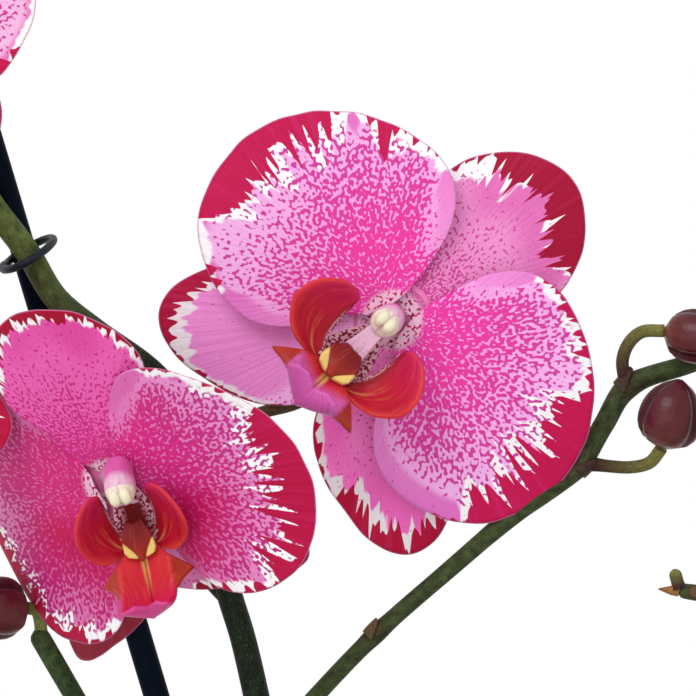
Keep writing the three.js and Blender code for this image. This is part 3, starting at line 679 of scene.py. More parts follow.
def organ_plan(kind, pose, seed):
    """An organ laid flat: its points, the share of the way out of each ring, and the margin."""
    scale, breadth, pinch = pose[4:]
    outline = np.array(OUTLINES[kind]) * [scale * breadth, scale]
    outline[:, 0] *= 1 - pinch * (outline[:, 1] / BEND_LENGTH) ** 2
    edge = even(curve(outline, OUTLINE_STEPS * AROUND, closed=True), closed=True)[::OUTLINE_STEPS]
    bearing = np.arctan2(edge[:, 1] - FAN_CENTRE[1], edge[:, 0] - FAN_CENTRE[0])
    swell = 1 + RIPPLE * ring_noise(bearing, RIPPLE_NOISE, seed)
    edge = FAN_CENTRE + (edge - FAN_CENTRE) * swell[:, None]
    shares = np.linspace(0, 1, RINGS + 1)[1:] ** RING_CROWDING
    xy = FAN_CENTRE + shares[:, None, None] * (edge - FAN_CENTRE)
    return np.vstack([FAN_CENTRE[None], xy.reshape(-1, 2)]), shares, edge


def margin_distance(x, y, shares, edge):
    """Each point's distance to the free margin; the sides of the claw don't count."""
    free = edge[edge[:, 1] > CLAW_LENGTH]
    rim = np.min(np.hypot(x[:, None] - free[None, :, 0], y[:, None] - free[None, :, 1]), axis=1)
    # It also grows along the way to the heart, so that no mark of a narrow sepal's side runs down it
    span = np.hypot(*(edge - FAN_CENTRE).T)
    inward = np.concatenate([[span.mean()], np.outer(1 - shares, span).ravel()])
    return np.maximum(rim, RADIAL_SHARE * inward)


def organ_marks(kind, data, spotting, x, y, turn, reach, rim, seed):
    """What the petal material reads at each point, by name."""
    degrees = np.degrees(turn)
    depth, hem, whole = (band(degrees, data.get(key, [])) for key in ("crimson", "white", "solid"))
    solid = np.maximum(SOLID_SHARE * np.maximum(depth - TOOTH_DEPTH, 0), whole)
    solid = np.minimum(solid, depth)
    # Spots cover most of the heart and thin out towards the margin, unevenly round the petal
    uneven = ring_noise(turn, PATCH_NOISE, seed)
    spot_middle, spot_fall = SPOT_SPREAD[kind.split("_")[0]]
    heart_middle, heart_fall = HEART_SPREAD["sepal" if "sepal" in kind else "petal"]
    cover = spot_middle - reach / spot_fall + spotting
    heart = heart_middle - reach / heart_fall
    if "sepal" in kind:
        cover = cover + 0.3 * uneven + 0.5 * np.exp(-rim / 2.5)
    else:
        cover = cover + 0.5 * uneven * unit(reach / 30)
        cover = np.minimum(cover, (rim - SMOOTH_HEM) / 8 + hem / 5)
        heart = heart + 0.3 * uneven
    return {"rim": rim, "solid": solid, "teeth": depth - solid, "reach": reach,
            "white": hem, "cover": np.clip(cover, 0, MAX_COVER), "heart": unit(heart),
            "claw": unit((COLLAR - np.hypot(x, y + CLAW_RADIUS)) / 3)}


def organ_tint(data, x, reach):
    """The tint of each point; the side of a petal next to the lip may be flushed crimson."""
    tint = np.array(data.get("tint", (1, 1, 1)))
    side = data.get("flush", 0)
    away = (reach - FLUSH_REACH) / FLUSH_LENGTH
    tint = shade(tint, tint * FLUSH, unit(side * x / FLUSH_WIDTH) * np.exp(-away ** 2))
    if side:
        # On the other side it fades outwards to the plain colours
        tint = shade(tint, np.ones(3), 0.6 * (reach - 24) / 16 * unit(0.5 - side * x / 20))
    return tint


def organ(name, kind, flower, seed):
    """A petal or sepal: a thin blade whose front and back meet at the margin."""
    data = flower["organs"][kind]
    angle, tilt, bow, curl = data["pose"][:4]
    xy, shares, edge = organ_plan(kind, data["pose"], seed)
    x, y = xy.T
    turn = np.arctan2(y - FAN_CENTRE[1], x - FAN_CENTRE[0])
    reach = np.hypot(x, y - FAN_CENTRE[1])
    share = np.concatenate([[0], np.repeat(shares, AROUND)])
    # Soft waves of the margin and a shallow channel down the middle
    lift = WAVE_HEIGHT * ring_noise(turn, WAVE_NOISE, seed) * share ** 3
    channel = np.exp(-(x / CHANNEL_WIDTH) ** 2) * unit(share * 2) * (1 - share)
    lift = lift - CHANNEL_DEPTH * channel
    half = HALF_THICKNESS * (1 - share ** 5) + HALF_EDGE
    drop = SEPAL_DROP if "sepal" in kind else 0
    a, t = math.radians(angle), math.radians(tilt)

    def bent(offset):
        far = y / BEND_LENGTH
        height = lift + offset - bow * far ** 2 - curl * (x / BEND_WIDTH) ** 2 * far
        out = y * math.cos(t) + height * math.sin(t) + CLAW_RADIUS
        forward = -y * math.sin(t) + height * math.cos(t) - drop
        local = [out * math.cos(a) + x * math.sin(a), out * math.sin(a) - x * math.cos(a), forward]
        return placed(np.stack(local, 1), flower)

    behind = [(0, 1 + (k + 1) % AROUND, 1 + k) for k in range(AROUND)]
    behind += grid_faces(RINGS, AROUND, closed=True, offset=1)
    count = len(xy)
    last = 1 + (RINGS - 1) * AROUND
    faces = [f[::-1] for f in behind] + [tuple(v + count for v in f) for f in behind]
    for k in range(AROUND):
        n = (k + 1) % AROUND
        faces.append((last + n, last + k, last + k + count, last + n + count))
    # The material's own coordinates, apart from those of the other organs
    apart = np.full(count, seed * 10.0)
    squeeze = (np.maximum(reach, 2) / 25) ** -0.25
    flat = np.stack([x * squeeze, y * squeeze, apart], 1)
    fan = np.stack([turn * FAN_RADIUS, reach, apart], 1)
    rim = margin_distance(x, y, shares, edge)
    values = organ_marks(kind, data, flower.get("spotting", 0), x, y, turn, reach, rim, seed)
    tint = organ_tint(data, x, reach)
    shape = Shape()
    shape.add(np.vstack([bent(half), bent(-half)]), faces, np.vstack([flat, flat]),
              np.vstack([tint, tint]), front=np.repeat([1.0, 0.0], count),
              **{key: np.tile(value, 2) for key, value in values.items()})
    made = shape.piece(name, "sepal" if "sepal" in kind else "petal")
    vectors(made.data, "fan", np.vstack([fan, fan]))


# The lip: two upright side lobes, the callus between them and the anchor-shaped midlobe
LOBE_INNER = [(3.4, -17.4, 8), (6.4, -12.5, 7), (7.4, -7.5, 7.2), (7.9, -1.8, 8.6)]
LOBE_OUTER = [(4.6, -18.6, 9.5), (9.5, -18.2, 12), (13.8, -16.2, 13.4), (17.3, -11.5, 14.4), (16.8, -6, 13.8),
              (12.6, -1.2, 11.5), (9.2, -0.4, 9.5)]
LOBE_BULGE = 3.0
LOBE_FLARE = 1.2
LOBE_RUFFLE = 0.35
LOBE_THICKNESS = 0.9
# Rows and columns of points on each side lobe
LOBE_GRID = (56, 34)
# The midlobe runs forward and its front turns up, so that its pink underside faces the viewer
MIDLOBE_KEEL = [(-16.4, 8), (-19.8, 11.5), (-23.4, 15.2), (-26.2, 19.5), (-26.4, 23.2), (-24, 25.6),
                (-21, 26.4)]
MIDLOBE_HALF_WIDTHS = [3, 5, 7.6, 13.4, 10.2, 8.2, 7.9, 7.4, 6.2, 3.2]
MIDLOBE_RIDGE = 7.2
MIDLOBE_CUP = [0.6, 1.2, 2.4, 3.2, 3.8, 4.4, 5.2, 5.8, 5.8, 5.0]
MIDLOBE_THICKNESS = 1.1
MIDLOBE_GRID = (72, 61)
THROAT_LINE = [(-4.5, 2.4), (-9, 2.6), (-13.5, 4), (-17.5, 7.2)]
THROAT_WIDTHS = ([0, 0.35, 0.7, 1], [2.2, 5, 6.4, 5])
THROAT_THICKNESS = 1.2
THROAT_GRID = (40, 30)
# Half widths of the callus and of the dark wedge on it, at shares of its length
CALLUS_WIDTHS = ([0, 0.35, 0.75, 0.9, 1], [2.2, 4.4, 4.6, 3.8, 1.6])
WEDGE_WIDTHS = ([0, 0.42, 0.95, 1], [2.6, 4.7, 0.6, 0.4])
WEDGE_HEIGHT = 1.4
CALLUS_LINE = [(-10.6, 7.6), (-13.4, 9.6), (-16.2, 11), (-18.4, 12.2)]
CALLUS_THICKNESS = 1.3
CALLUS_GRID = (50, 51)
# Points on each line that the lip is built along
LIP_STEPS = 80
LIP_DARK = rgb(0.15, 0.006, 0.008)
LIP_RED = rgb(0.43, 0.005, 0.024)
LIP_ROSE = rgb(0.50, 0.012, 0.078)
LIP_BROWN = rgb(0.34, 0.028, 0.016)
LIP_ORANGE = rgb(0.52, 0.10, 0.022)
LIP_FLAME = rgb(0.54, 0.030, 0.034)
LIP_YELLOW = rgb(0.72, 0.52, 0.16)
LIP_PINK = rgb(0.57, 0.105, 0.38)
LIP_EDGE = rgb(0.54, 0.05, 0.22)


def pick(line, u):
    """Points of a line at shares of the way along it."""
    return np.stack([spread(values, u) for values in line.T], -1)


def side_lobe(shape, side, flower):
    """One side lobe: a bulging sheet from its inner line to its outer one, dark at the throat."""
    inner = even(curve(LOBE_INNER, LIP_STEPS)) * [side, 1, 1]
    outer = even(curve(LOBE_OUTER, LIP_STEPS)) * [side, 1, 1]

    def surface(u, v):
        across = (v if side < 0 else 1 - v)[..., None]
        point = pick(inner, u) * (1 - across) + pick(outer, u) * across
        point = point * [flower.get("lobes", 1), 1, 1]
        across = across[..., 0]
        swell = LOBE_BULGE * np.sin(math.pi * across) * np.sin(math.pi * unit(u * 0.9 + 0.08))
        flare = LOBE_FLARE * across ** 6
        ruffle = LOBE_RUFFLE * np.sin(11 * u + side) * across ** 3
        return point - np.stack([side * (0.4 * swell - flare), 0.3 * swell, 0.85 * swell - ruffle], -1)

    points, faces, u, v = sheet(surface, *LOBE_GRID, LOBE_THICKNESS)
    across = v if side < 0 else 1 - v
    tint = shade(LIP_DARK * 1.3, LIP_RED, across * 2.2)
    tint = shade(tint, LIP_ROSE, (u - 0.5) * 2.2 * unit(across * 1.6))
    tint = shade(tint, LIP_ORANGE, (across - 0.8) * 3 * unit(1.0 - u * 2.4))
    tint = shade(tint, LIP_FLAME * 1.1, (across - 0.93) * 14)
    vein = np.exp(-((across - 0.62 + 0.2 * u) / 0.03) ** 2) * unit(u * 8) * unit(2.2 - u * 5)
    tint = shade(tint, LIP_YELLOW, vein * 0.45)
    tint = shade(tint, LIP_YELLOW, (0.06 - u) * 14 * (1 - across * 0.7))
    spotted = unit(1.2 - across * 8) * unit(u * 7 - 0.6) * unit(4.2 - u * 5)
    streak = 0.35 * unit(1.2 - u) * unit(across * 2)
    flat = np.stack([across * 14, u * 24, 0 * u], 1)
    shape.add(placed(points, flower), faces, flat, tint, spotted=spotted, streak=streak)


def across_line(line, widths, rise):
    """A surface across a line, with half widths along it and a rise for each point."""
    line = even(curve(line, LIP_STEPS))

    def surface(u, v):
        x = widths(u) * (2 * v - 1)
        up, forward = rise(u, x)
        point = pick(line, u)
        return np.stack([x, point[..., 0] + up, point[..., 1] + forward], -1)

    return surface


def midlobe(shape, flower):
    """The anchor-shaped front of the lip, with its two points at the sides."""
    def rise(u, x):
        w = np.abs(x) / MIDLOBE_RIDGE
        lift = spread(MIDLOBE_CUP, u) * np.where(w < 1, w ** 1.3, 1 - 1.6 * (w - 1))
        lift = lift - 0.5 * np.exp(-(x / 0.5) ** 2)
        return 0.8 * lift, 0.45 * lift

    surface = across_line(MIDLOBE_KEEL, lambda u: spread(MIDLOBE_HALF_WIDTHS, u), rise)
    points, faces, u, v = sheet(surface, *MIDLOBE_GRID, MIDLOBE_THICKNESS)
    across = np.abs(2 * v - 1) * spread(MIDLOBE_HALF_WIDTHS, u)
    tint = shade(LIP_RED * 1.25, LIP_FLAME, np.clip(across / 6, 0, 0.8))
    tint = shade(tint, LIP_YELLOW, np.exp(-((across - 0.7) / 0.35) ** 2) * unit(1.7 - u * 3) * 0.8)
    tint = shade(tint, LIP_DARK, np.exp(-(across / 0.25) ** 2) * 0.8)
    tint = shade(tint, LIP_ROSE * 1.15, (u - 0.4) * 3)
    blush = flower.get("blush", 1)
    tint = shade(tint, LIP_PINK, (u - 0.22) * 6 * blush)
    # The first half of the sheet's points is its upper side
    upper = np.arange(len(u)) < len(u) // 2
    under = LIP_PINK if blush else LIP_EDGE
    tint = np.where(upper[:, None], tint, np.broadcast_to(under, tint.shape))
    tint = shade(tint, LIP_BROWN, (across - MIDLOBE_RIDGE - 0.2) * 1.6)
    tint = shade(tint, under, (u - 0.95) * 20)
    shape.add(placed(points, flower), faces, surface_place(u, v, 9, 26), tint, spotted=0,
              streak=np.where(upper, 0.18, 0))


def throat(shape, flower):
    """The throat floor between the side lobes, and the strap that carries the lip."""
    surface = across_line(THROAT_LINE, lambda u: np.interp(u, *THROAT_WIDTHS),
                          lambda u, x: (0.02 * x * x, 0.05 * x * x))
    points, faces, u, v = sheet(surface, *THROAT_GRID, THROAT_THICKNESS)
    shape.add(placed(points, flower), faces, surface_place(u, v, 6, 14), LIP_DARK,
              spotted=unit(np.abs(2 * v - 1) * 3 - 1.2), streak=0)


def callus(shape, flower):
    """A raised dark wedge that narrows to a point, with a flat yellow field at each side."""
    def rise(u, x):
        wedge = WEDGE_HEIGHT * unit(1 - np.abs(x) / np.interp(u, *WEDGE_WIDTHS))
        return 0.05 * np.abs(x), wedge + 0.05 * x * x

    surface = across_line(CALLUS_LINE, lambda u: np.interp(u, *CALLUS_WIDTHS), rise)
    points, faces, u, v = sheet(surface, *CALLUS_GRID, CALLUS_THICKNESS)
    outside = np.abs(2 * v - 1) * np.interp(u, *CALLUS_WIDTHS) - np.interp(u, *WEDGE_WIDTHS)
    tint = shade(LIP_DARK * 1.2, LIP_BROWN, (u - 0.3) * 1.4)
    tint = shade(tint, LIP_YELLOW, outside * 1.6)
    shape.add(placed(points, flower), faces, surface_place(u, v, 5, 9), tint, spotted=0, streak=0.2)


def lip(name, flower):
    """Side lobes, midlobe, throat and callus, grown together in one piece."""
    shape = Shape()
    for side in (-1, 1):
        side_lobe(shape, side, flower)
    for part in (midlobe, throat, callus):
        part(shape, flower)
    shape.piece(name, "lip")


# The column with its anther cap, on the end of the ovary
COLUMN_PATH = [(0, 0, -9), (0, 0, -5), (0, 0, -1.5), (0, 0, 1.5), (0, 0, 4), (0, -0.3, 7), (0, -1.0, 9.2),
               (0, -1.6, 10.4)]
COLUMN_RADII = [1.7, 2.1, 3.1, 3.2, 3.5, 3.9, 3.7, 2.2]
COLUMN_RINGS = 44
FOOT_LENGTH = 5.0
RECEPTACLE_PATH = [(0, 0, -8), (0, 0, -6), (0, 0, -4.4), (0, 0, -3), (0, 0, -2.3)]
RECEPTACLE_RADII = [1.7, 2.2, 4.5, 8, 9.5, 9.2]
CAP_PATH = [(0, -0.6, 8.6), (0, -0.9, 9.8), (0, -1.2, 11.2), (0, -1.5, 12.2)]
CAP_RADII = [2.9, 3.4, 3.2, 2.4, 0.6]
# The right half of the anther; the left one mirrors it
ANTHER_PATH = [(1.1, 1.2, 10.6), (1.25, -0.7, 12.2), (1.15, -2.6, 11.8)]
ANTHER_RADII = [0.9, 1.4, 1.3, 0.5]
TONGUE_WIDTHS = ([0, 0.4, 1], [2.0, 2.2, 2.9])
TONGUE_LENGTH = 8.2
TONGUE_THICKNESS = 0.7
TONGUE_GRID = (30, 40)
CREAM = rgb(0.74, 0.68, 0.50)
ANTHER_PINK = rgb(0.66, 0.36, 0.46)
COLUMN_PALE = rgb(0.66, 0.38, 0.52)
COLUMN_MAGENTA = rgb(0.62, 0.10, 0.36)
OVARY = rgb(0.42, 0.30, 0.22)
# The receptacle's own pink, made lighter and more saturated as painted light against the shade it sits in
RECEPTACLE_LIT_PINK = rgb(0.80, 0.21, 0.46)


def column(name, flower, base):
    """The column on its face, with the receptacle at the base of the flower behind it."""
    def ridges(angles, place):
        return 1 + 0.1 * np.cos(2 * angles) * math.sin(math.pi * place)

    shape = Shape()
    points, faces, flat = limb(curve(COLUMN_PATH, COLUMN_RINGS), COLUMN_RADII, 32, ridges)
    upper = unit(points[:, 1] / 5 + 0.6)
    tint = shade(OVARY, shade(COLUMN_PALE, COLUMN_MAGENTA, upper), (points[:, 2] + 5) / 5)
    tint = shade(tint, COLUMN_PALE, (points[:, 2] - 7.4) / 1.5)
    # Where the face is set forward, the foot of the column leans back to the flower's middle
    lean = unit((2 - points[:, 2]) / FOOT_LENGTH)[:, None]
    back = np.array(base["centre"]) - np.array(flower["centre"])
    shape.add(placed(points, flower) + lean * back, faces, flat, tint)
    # The receptacle: a shallow funnel behind the claws, seen in the gaps between them; its pink is partly
    # painted light, brightened against the shade there
    shape.limb(curve(RECEPTACLE_PATH, 24), RECEPTACLE_RADII, 40,
               lambda p: shade(OVARY, RECEPTACLE_LIT_PINK, (p[:, 2] + 6) / 3), base)
    shape.limb(curve(CAP_PATH, 18), CAP_RADII, 28,
               lambda p: shade(CREAM, ANTHER_PINK, np.exp(-(p[:, 0] / 0.45) ** 2)), flower)
    for side in (-1, 1):
        shape.limb(even(curve(ANTHER_PATH, 18)) * [side, 1, 1], ANTHER_RADII, 18, CREAM, flower)

    # The pale tongue under the anther, with a torn end
    def tongue(u, v):
        x = np.interp(u, *TONGUE_WIDTHS) * (2 * v - 1)
        torn = 0.5 * np.sin(17 * v) + 0.35 * np.sin(41 * v + 1)
        length = (TONGUE_LENGTH + torn) * flower.get("tongue", 1)
        return np.stack([x, -3.2 - length * u, 8.8 - 0.9 * u + 0.6 * np.sin(math.pi * u)], -1)

    points, faces, u, v = sheet(tongue, *TONGUE_GRID, TONGUE_THICKNESS)
    shape.add(placed(points, flower), faces, np.stack([v * 6, u * 8, 0 * u], 1), COLUMN_PALE)
    shape.piece(name, "column")


for number, (flower_name, flower) in enumerate(FLOWERS.items()):
    for part, kind in enumerate(OUTLINES):
        organ(f"{flower_name}_{kind}", kind, flower, number * 5 + part + 1)
    face = {**flower, **flower.get("face", {})}
    lip(f"{flower_name}_lip", face)
    column(f"{flower_name}_column", {**face, "breadth": 1}, flower)

# Stems: the solids' paths and radii, except that the left spike bends further left at its clip.
# Nodes are shares of the path, where a bract sits and the stem is a little thicker
SPIKE_GREEN = rgb(0.010, 0.018, 0.009)
STEM_GREEN = rgb(0.046, 0.062, 0.020)
BRANCH_GREEN = rgb(0.014, 0.036, 0.009)
OLIVE = rgb(0.085, 0.115, 0.028)
MAROON = rgb(0.042, 0.012, 0.014)
STALK_GREEN = rgb(0.20, 0.19, 0.05)
STALK_PALE = rgb(0.22, 0.26, 0.08)
BRACT_BROWN = rgb(0.13, 0.072, 0.036)
BRACT_MAROON = rgb(0.060, 0.026, 0.020)
SPUR_ORANGE = rgb(0.34, 0.15, 0.05)
STEMS = {
    "spike_left": {
        "path": [(-10.5, 9, 133), (-13, 11, 165), (-18, 12, 205), (-28, 12, 250), (-38.5, 12, 300),
                 (-47.8, 12, 343), (-54.2, 12, 372), (-58.3, 12, 386), (-61.6, 12, 409), (-67.4, 12, 424.6),
                 (-75.7, 12, 434.5), (-88.8, 12, 444), (-97.8, 12, 451.6), (-104.2, 12, 462),
                 (-112.8, 12, 473.5), (-120.2, 11.6, 486.5), (-123, 11.6, 508), (-126, 13, 532),
                 (-128, 20, 555), (-137, 21.5, 576), (-154, 13, 590), (-176, 6, 597), (-197, -2, 594)],
        "radii": [4.1, 3.9, 3.7, 3.6, 3.5, 3.4, 3.2, 3.3, 3.1, 3, 3, 3, 3, 3, 2.9, 2.8, 2.7, 2.6, 2.4, 2.1,
                  1.8, 1.3],
        "nodes": [0.12, 0.25, 0.36, 0.555, 0.75, 0.88], "steps": 260, "green": SPIKE_GREEN,
        "olive_from": 0.575,
        "stalks": [
            [(-61.8, 12, 413), (-52.5, 13, 423.8), (-41, 14, 427.6), (-28, 15, 437), (-19.5, 14, 446),
             (-19, 9.8, 447)],
            [(-58, 12, 382), (-66, 17, 390), (-73, 17.4, 400), (-77, 7, 411), (-79.2, -9.6, 414.2),
             (-80.6, -13, 412.5)],
            [(-121, 11.4, 508), (-124, 13, 517), (-131, 13.4, 525.6), (-140, 12, 529.3), (-143.5, 7.6, 529)],
            [(-93, 12, 448), (-102, 13, 444.6), (-116, 13.4, 441.6), (-132, 8, 440.8), (-143.6, 2, 440.4),
             (-147.6, -2.8, 439.5)],
            [(-154, 13, 590), (-159, 10, 581), (-164, 7, 574.5)],
        ],
    },
    "spike_right": {
        "path": [(10, -9.5, 133), (14, -9, 165), (25, -6.5, 210), (42, -5, 260), (60, -4, 310), (76, -3, 360),
                 (88, -1.6, 400), (100, 2, 440), (116, 8, 476), (138, 12, 508), (162, 8, 532), (184, 2, 546)],
        "radii": [4, 3.8, 3.6, 3.4, 3.3, 3.2, 3.1, 2.9, 2.7, 2.4, 2, 1.3],
        "nodes": [0.14, 0.3, 0.47, 0.66, 0.82], "steps": 220, "green": SPIKE_GREEN,
        "stalks": [[(124, 9.5, 488), (138, 15, 494), (145.6, 12, 500.6), (147.4, 5.2, 501.3)]],
    },
    "branch_right": {
        "path": [(-43.8, 12, 352), (-37.2, 12, 359.5), (-23.7, 12, 373.5), (-6.4, 12, 388.7), (9.2, 12, 402),
                 (23.4, 12, 412.6), (29.2, 12, 422), (35, 12, 431), (50.6, 12, 436.8), (64, 13, 442.6),
                 (74, 14, 450.6)],
        "radii": [2, 2, 2, 2, 2.1, 2.5, 2.3, 2.5, 2.3, 1.9, 1.4],
        "nodes": [0.19, 0.58, 0.72, 0.92], "steps": 120, "green": STEM_GREEN,
        "stalks": [
            [(24.5, 12, 413.4), (30.5, 11, 412.6), (35.7, 10, 412.4), (39.8, 8.4, 413.5), (42.4, 6.2, 416.8)],
            [(35, 12, 431), (33.6, 11, 436.6), (35, 10, 441), (38, 9.2, 443.7), (43.2, 8.3, 444)],
        ],
    },
    "branch_left": {
        "path": [(-32.4, 8.3, 245.4), (-46, 8, 274), (-69, 10, 318), (-93.9, 17, 359.2), (-102.9, 20, 374.2)],
        "radii": [2.5, 2.5, 2.4, 2.3, 2.4],
        "nodes": [], "steps": 200, "green": BRANCH_GREEN, "foot": STALK_PALE,
        "stalks": [[(-101.6, 19.8, 372), (-101.8, 20, 375.6), (-102.6, 19.6, 378.6), (-104.9, 16.8, 379.5)]],
    },
    "branch_tip": {
        "path": [(78, -4.6, 378.6), (66, -6, 380.4), (56, -6, 383), (49.6, -6, 384), (45.4, -6, 384.6)],
        "radii": [1.8, 1.7, 1.6, 1.6, 1.7],
        "nodes": [0.86], "steps": 40, "green": STEM_GREEN, "rounded_stalks": True,
        "stalks": [[(45.8, -6, 385), (45.1, -6.1, 387.5), (44.6, -6.2, 389.4)]],
        "spurs": [[(45.6, -6, 384.4), (43.4, -6.2, 384.6), (41, -6.4, 384.9)]],
    },
}
STEM_SIDES = 20
STALK_RADIUS = 1.5
STALK_SIDES = 14
STALK_STEPS = 40
SPUR_RADII = [1.3, 1.15, 0.65, 0.15]
SPUR_STEPS = 16
NODE_SWELL = 0.13
NODE_LENGTH = 3.0
# Slow changes of a stem's thickness: how long they are and their share of the radius
WOBBLE_LENGTH = 22
WOBBLE = 0.035
MOTTLE_SIZE = 1.7
MOTTLE_DEPTH = 0.8
BRACT_GRID = (10, 13)
BRACT_THICKNESS = 0.5


def rounded(place, length, radius):
    """Shares of the radius along a limb whose far end is closed by a half round."""
    inside = np.clip((place - 1) * length / radius + 1, 0, 0.97)
    return np.sqrt(1 - inside ** 2)


def bract(shape, centre, direction, radius, outward, brown):
    """A small triangular scale that hugs the stem at a node."""
    side = np.cross(direction, outward)
    side /= np.linalg.norm(side)
    out = np.cross(side, direction)

    def surface(u, v):
        angle = (v - 0.5) * 2.4 * (1 - 0.8 * u)
        lift = radius * 1.02 + 0.2 + 0.3 * u * u
        height = (u - 0.25) * radius * 2.0
        return (centre + np.multiply.outer(np.cos(angle) * lift, out)
                + np.multiply.outer(np.sin(angle) * lift, side) + np.multiply.outer(height, direction))

    points, faces, u, v = sheet(surface, *BRACT_GRID, BRACT_THICKNESS)
    tint = shade(brown, STEM_GREEN, 0.4 - u)
    shape.add(points, faces, np.stack([v * 6, 0 * u, u * 7], 1), tint)


def stem(name, path, radii, nodes, steps, green, stalks, foot=MAROON, olive_from=None,
         rounded_stalks=False, spurs=()):
    """A spike or branch with its bracts, the stalks of its flowers and buds, and its spurs."""
    shape = Shape()
    path = even(curve(path, steps))
    place = np.linspace(0, 1, steps)
    length = steps_along(path).sum()
    near = np.zeros(steps)
    for share in nodes:
        near = np.maximum(near, np.exp(-((place - share) * length / NODE_LENGTH) ** 2))
    wobble = smooth_noise([(p * length / WOBBLE_LENGTH, SEED, 0) for p in place])
    swell = (1 + NODE_SWELL * near + WOBBLE * wobble) * rounded(place, length, radii[-1])
    radii = spread(radii, place) * swell
    points, faces, flat = limb(path, radii, STEM_SIDES)
    rings = per_point(place, STEM_SIDES)
    tint = shade(green, MAROON, per_point(near, STEM_SIDES) * 0.5)
    if olive_from:
        tint = shade(tint, OLIVE, (rings - olive_from) * 12)
    else:
        tint = shade(tint, STEM_GREEN * 1.4, (rings - 0.85) * 4)
    mottle = MOTTLE_DEPTH * smooth_noise(points / MOTTLE_SIZE)
    shape.add(points, faces, flat, tint * (1 + mottle[:, None]))
    tangents = np.gradient(path, axis=0)
    for k, share in enumerate(nodes):
        i = int(share * (steps - 1))
        direction = tangents[i] / np.linalg.norm(tangents[i])
        outward = np.array([1.0 if k % 2 else -1.0, -0.5, 0.2])
        bract(shape, path[i], direction, radii[i], outward, BRACT_MAROON if k else BRACT_BROWN)
    for stalk in stalks:
        line = even(curve(stalk, STALK_STEPS))
        share = np.linspace(0, 1, STALK_STEPS)
        radius = STALK_RADIUS * (1 + 0.35 * np.exp(-(share * 7) ** 2))
        if rounded_stalks:
            radius = radius * rounded(share, steps_along(line).sum(), STALK_RADIUS)
        rise = per_point(share, STALK_SIDES)
        shape.limb(line, radius, STALK_SIDES, shade(foot, STALK_GREEN, rise * 1.3 - 0.2))
    for spur in spurs:
        shape.limb(even(curve(spur, SPUR_STEPS)), SPUR_RADII, STALK_SIDES, SPUR_ORANGE)
    shape.piece(name, "stem")


for stem_name, sizes in STEMS.items():
    stem(stem_name, **sizes)

# Buds: three outer leaves folded shut, with seams between them
BUDS = {
    "bud_right_low": ((42.8, 5.8, 417.2), (46.4, 1.6, 432.6), 7.4),
    "bud_right_high": ((43.6, 8.1, 443.8), (60.4, 1.4, 441), 6.3),
    "bud_right_end": ((74.4, 14.1, 451.1), (82.5, 15.5, 461.6), 4.6),
    "bud_left_low": ((-105.1, 16.5, 379.5), (-119.6, 9.8, 379.7), 7.3),
    "bud_spike_left_side": ((-164.4, 6.8, 574.1), (-174, 3, 562.5), 6),
    "bud_spike_left_end": ((-197.6, -2.2, 593.9), (-210.5, -7, 590), 5),
    "bud_spike_right_end": ((184.6, 1.8, 546.2), (196.5, -2, 549), 4.8),
}
BUD_PROFILE = [0.26, 0.72, 0.9, 0.98, 1, 0.98, 0.93, 0.84, 0.7, 0.48, 0.12]
BUD_MAROON = rgb(0.078, 0.006, 0.011)
BUD_SEAM = rgb(0.040, 0.004, 0.007)
BUD_HIGHLIGHT = rgb(0.14, 0.030, 0.022)
SEAM_DEPTH = 0.2
SEAM_TURN = 1.8
BULGE = 0.05
BULGE_TURN = 1.2
BUD_RINGS = 40
BUD_SIDES = 42


def seam_distance(angles):
    """0 on the three seams of a bud, 1 midway between them."""
    return np.abs(np.cos(1.5 * angles + SEAM_TURN))


def bud(name, start, end, radius):
    """A closed bud from its stalk's end to its tip."""
    def ridges(angles, place):
        groove = SEAM_DEPTH * (1 - seam_distance(angles)) ** 5
        return 1.02 - groove + BULGE * np.cos(3 * angles + BULGE_TURN) * (place - 0.3)

    line = np.linspace(start, end, BUD_RINGS)
    points, faces, flat = limb(line, np.array(BUD_PROFILE) * radius, BUD_SIDES, ridges)
    place = per_point(np.linspace(0, 1, BUD_RINGS), BUD_SIDES)
    angles = np.append(np.tile(circle(BUD_SIDES), BUD_RINGS), [0, 0])
    seam = (1 - seam_distance(angles)) ** 2
    tint = shade(shade(BUD_HIGHLIGHT, BUD_MAROON, place * 2.4), BUD_SEAM, seam * 1.2)
    one_mesh(name, "bud", points, faces, flat, tint)


for bud_name, (start, end, radius) in BUDS.items():
    bud(bud_name, start, end, radius)

# Stakes and ring clips
STAKE_RADIUS = 3.0
STAKES = {
    "stake_left": ((22.1, 18.6, 35), (-122.8, 18.6, 520)),
    "stake_right": ((-4, -15, 35), (98, -8.6, 430)),
}
STAKE_END = 0.72
for stake_name, (low, high) in STAKES.items():
    profile = np.full(60, STAKE_RADIUS)
    profile[-1] = STAKE_RADIUS * STAKE_END
    one_mesh(stake_name, "stake", *limb(np.linspace(low, high, 60), profile, 32))

# Each clip: centre, slope in degrees, half width, half depth, and rise for each mm towards the back
RING_CLIPS = {
    "clip_left": ((-104.2, 15.3, 461.9), 29, 6.5, 8.4, 0.24),
    "clip_right": ((88.9, -5.4, 399), -16, 6.1, 8.8, 0),
}
CLIP_WIRE = 0.95
# The wire is thicker where the clip snaps shut
CLIP_SWELL = 0.5
for clip_name, (centre, slope, wide, deep, lean) in RING_CLIPS.items():
    turns = np.linspace(0, 2 * math.pi, 73)
    x, y, slant = wide * np.cos(turns), deep * np.sin(turns), math.radians(slope)
    ring = np.stack([x * math.cos(slant), y, x * math.sin(slant) + lean * y], 1)
    wire = CLIP_WIRE * (1 + CLIP_SWELL * np.exp(-((turns - math.pi) / 0.25) ** 2))
    one_mesh(clip_name, "clip", *limb(ring + np.array(centre), wire, 16))

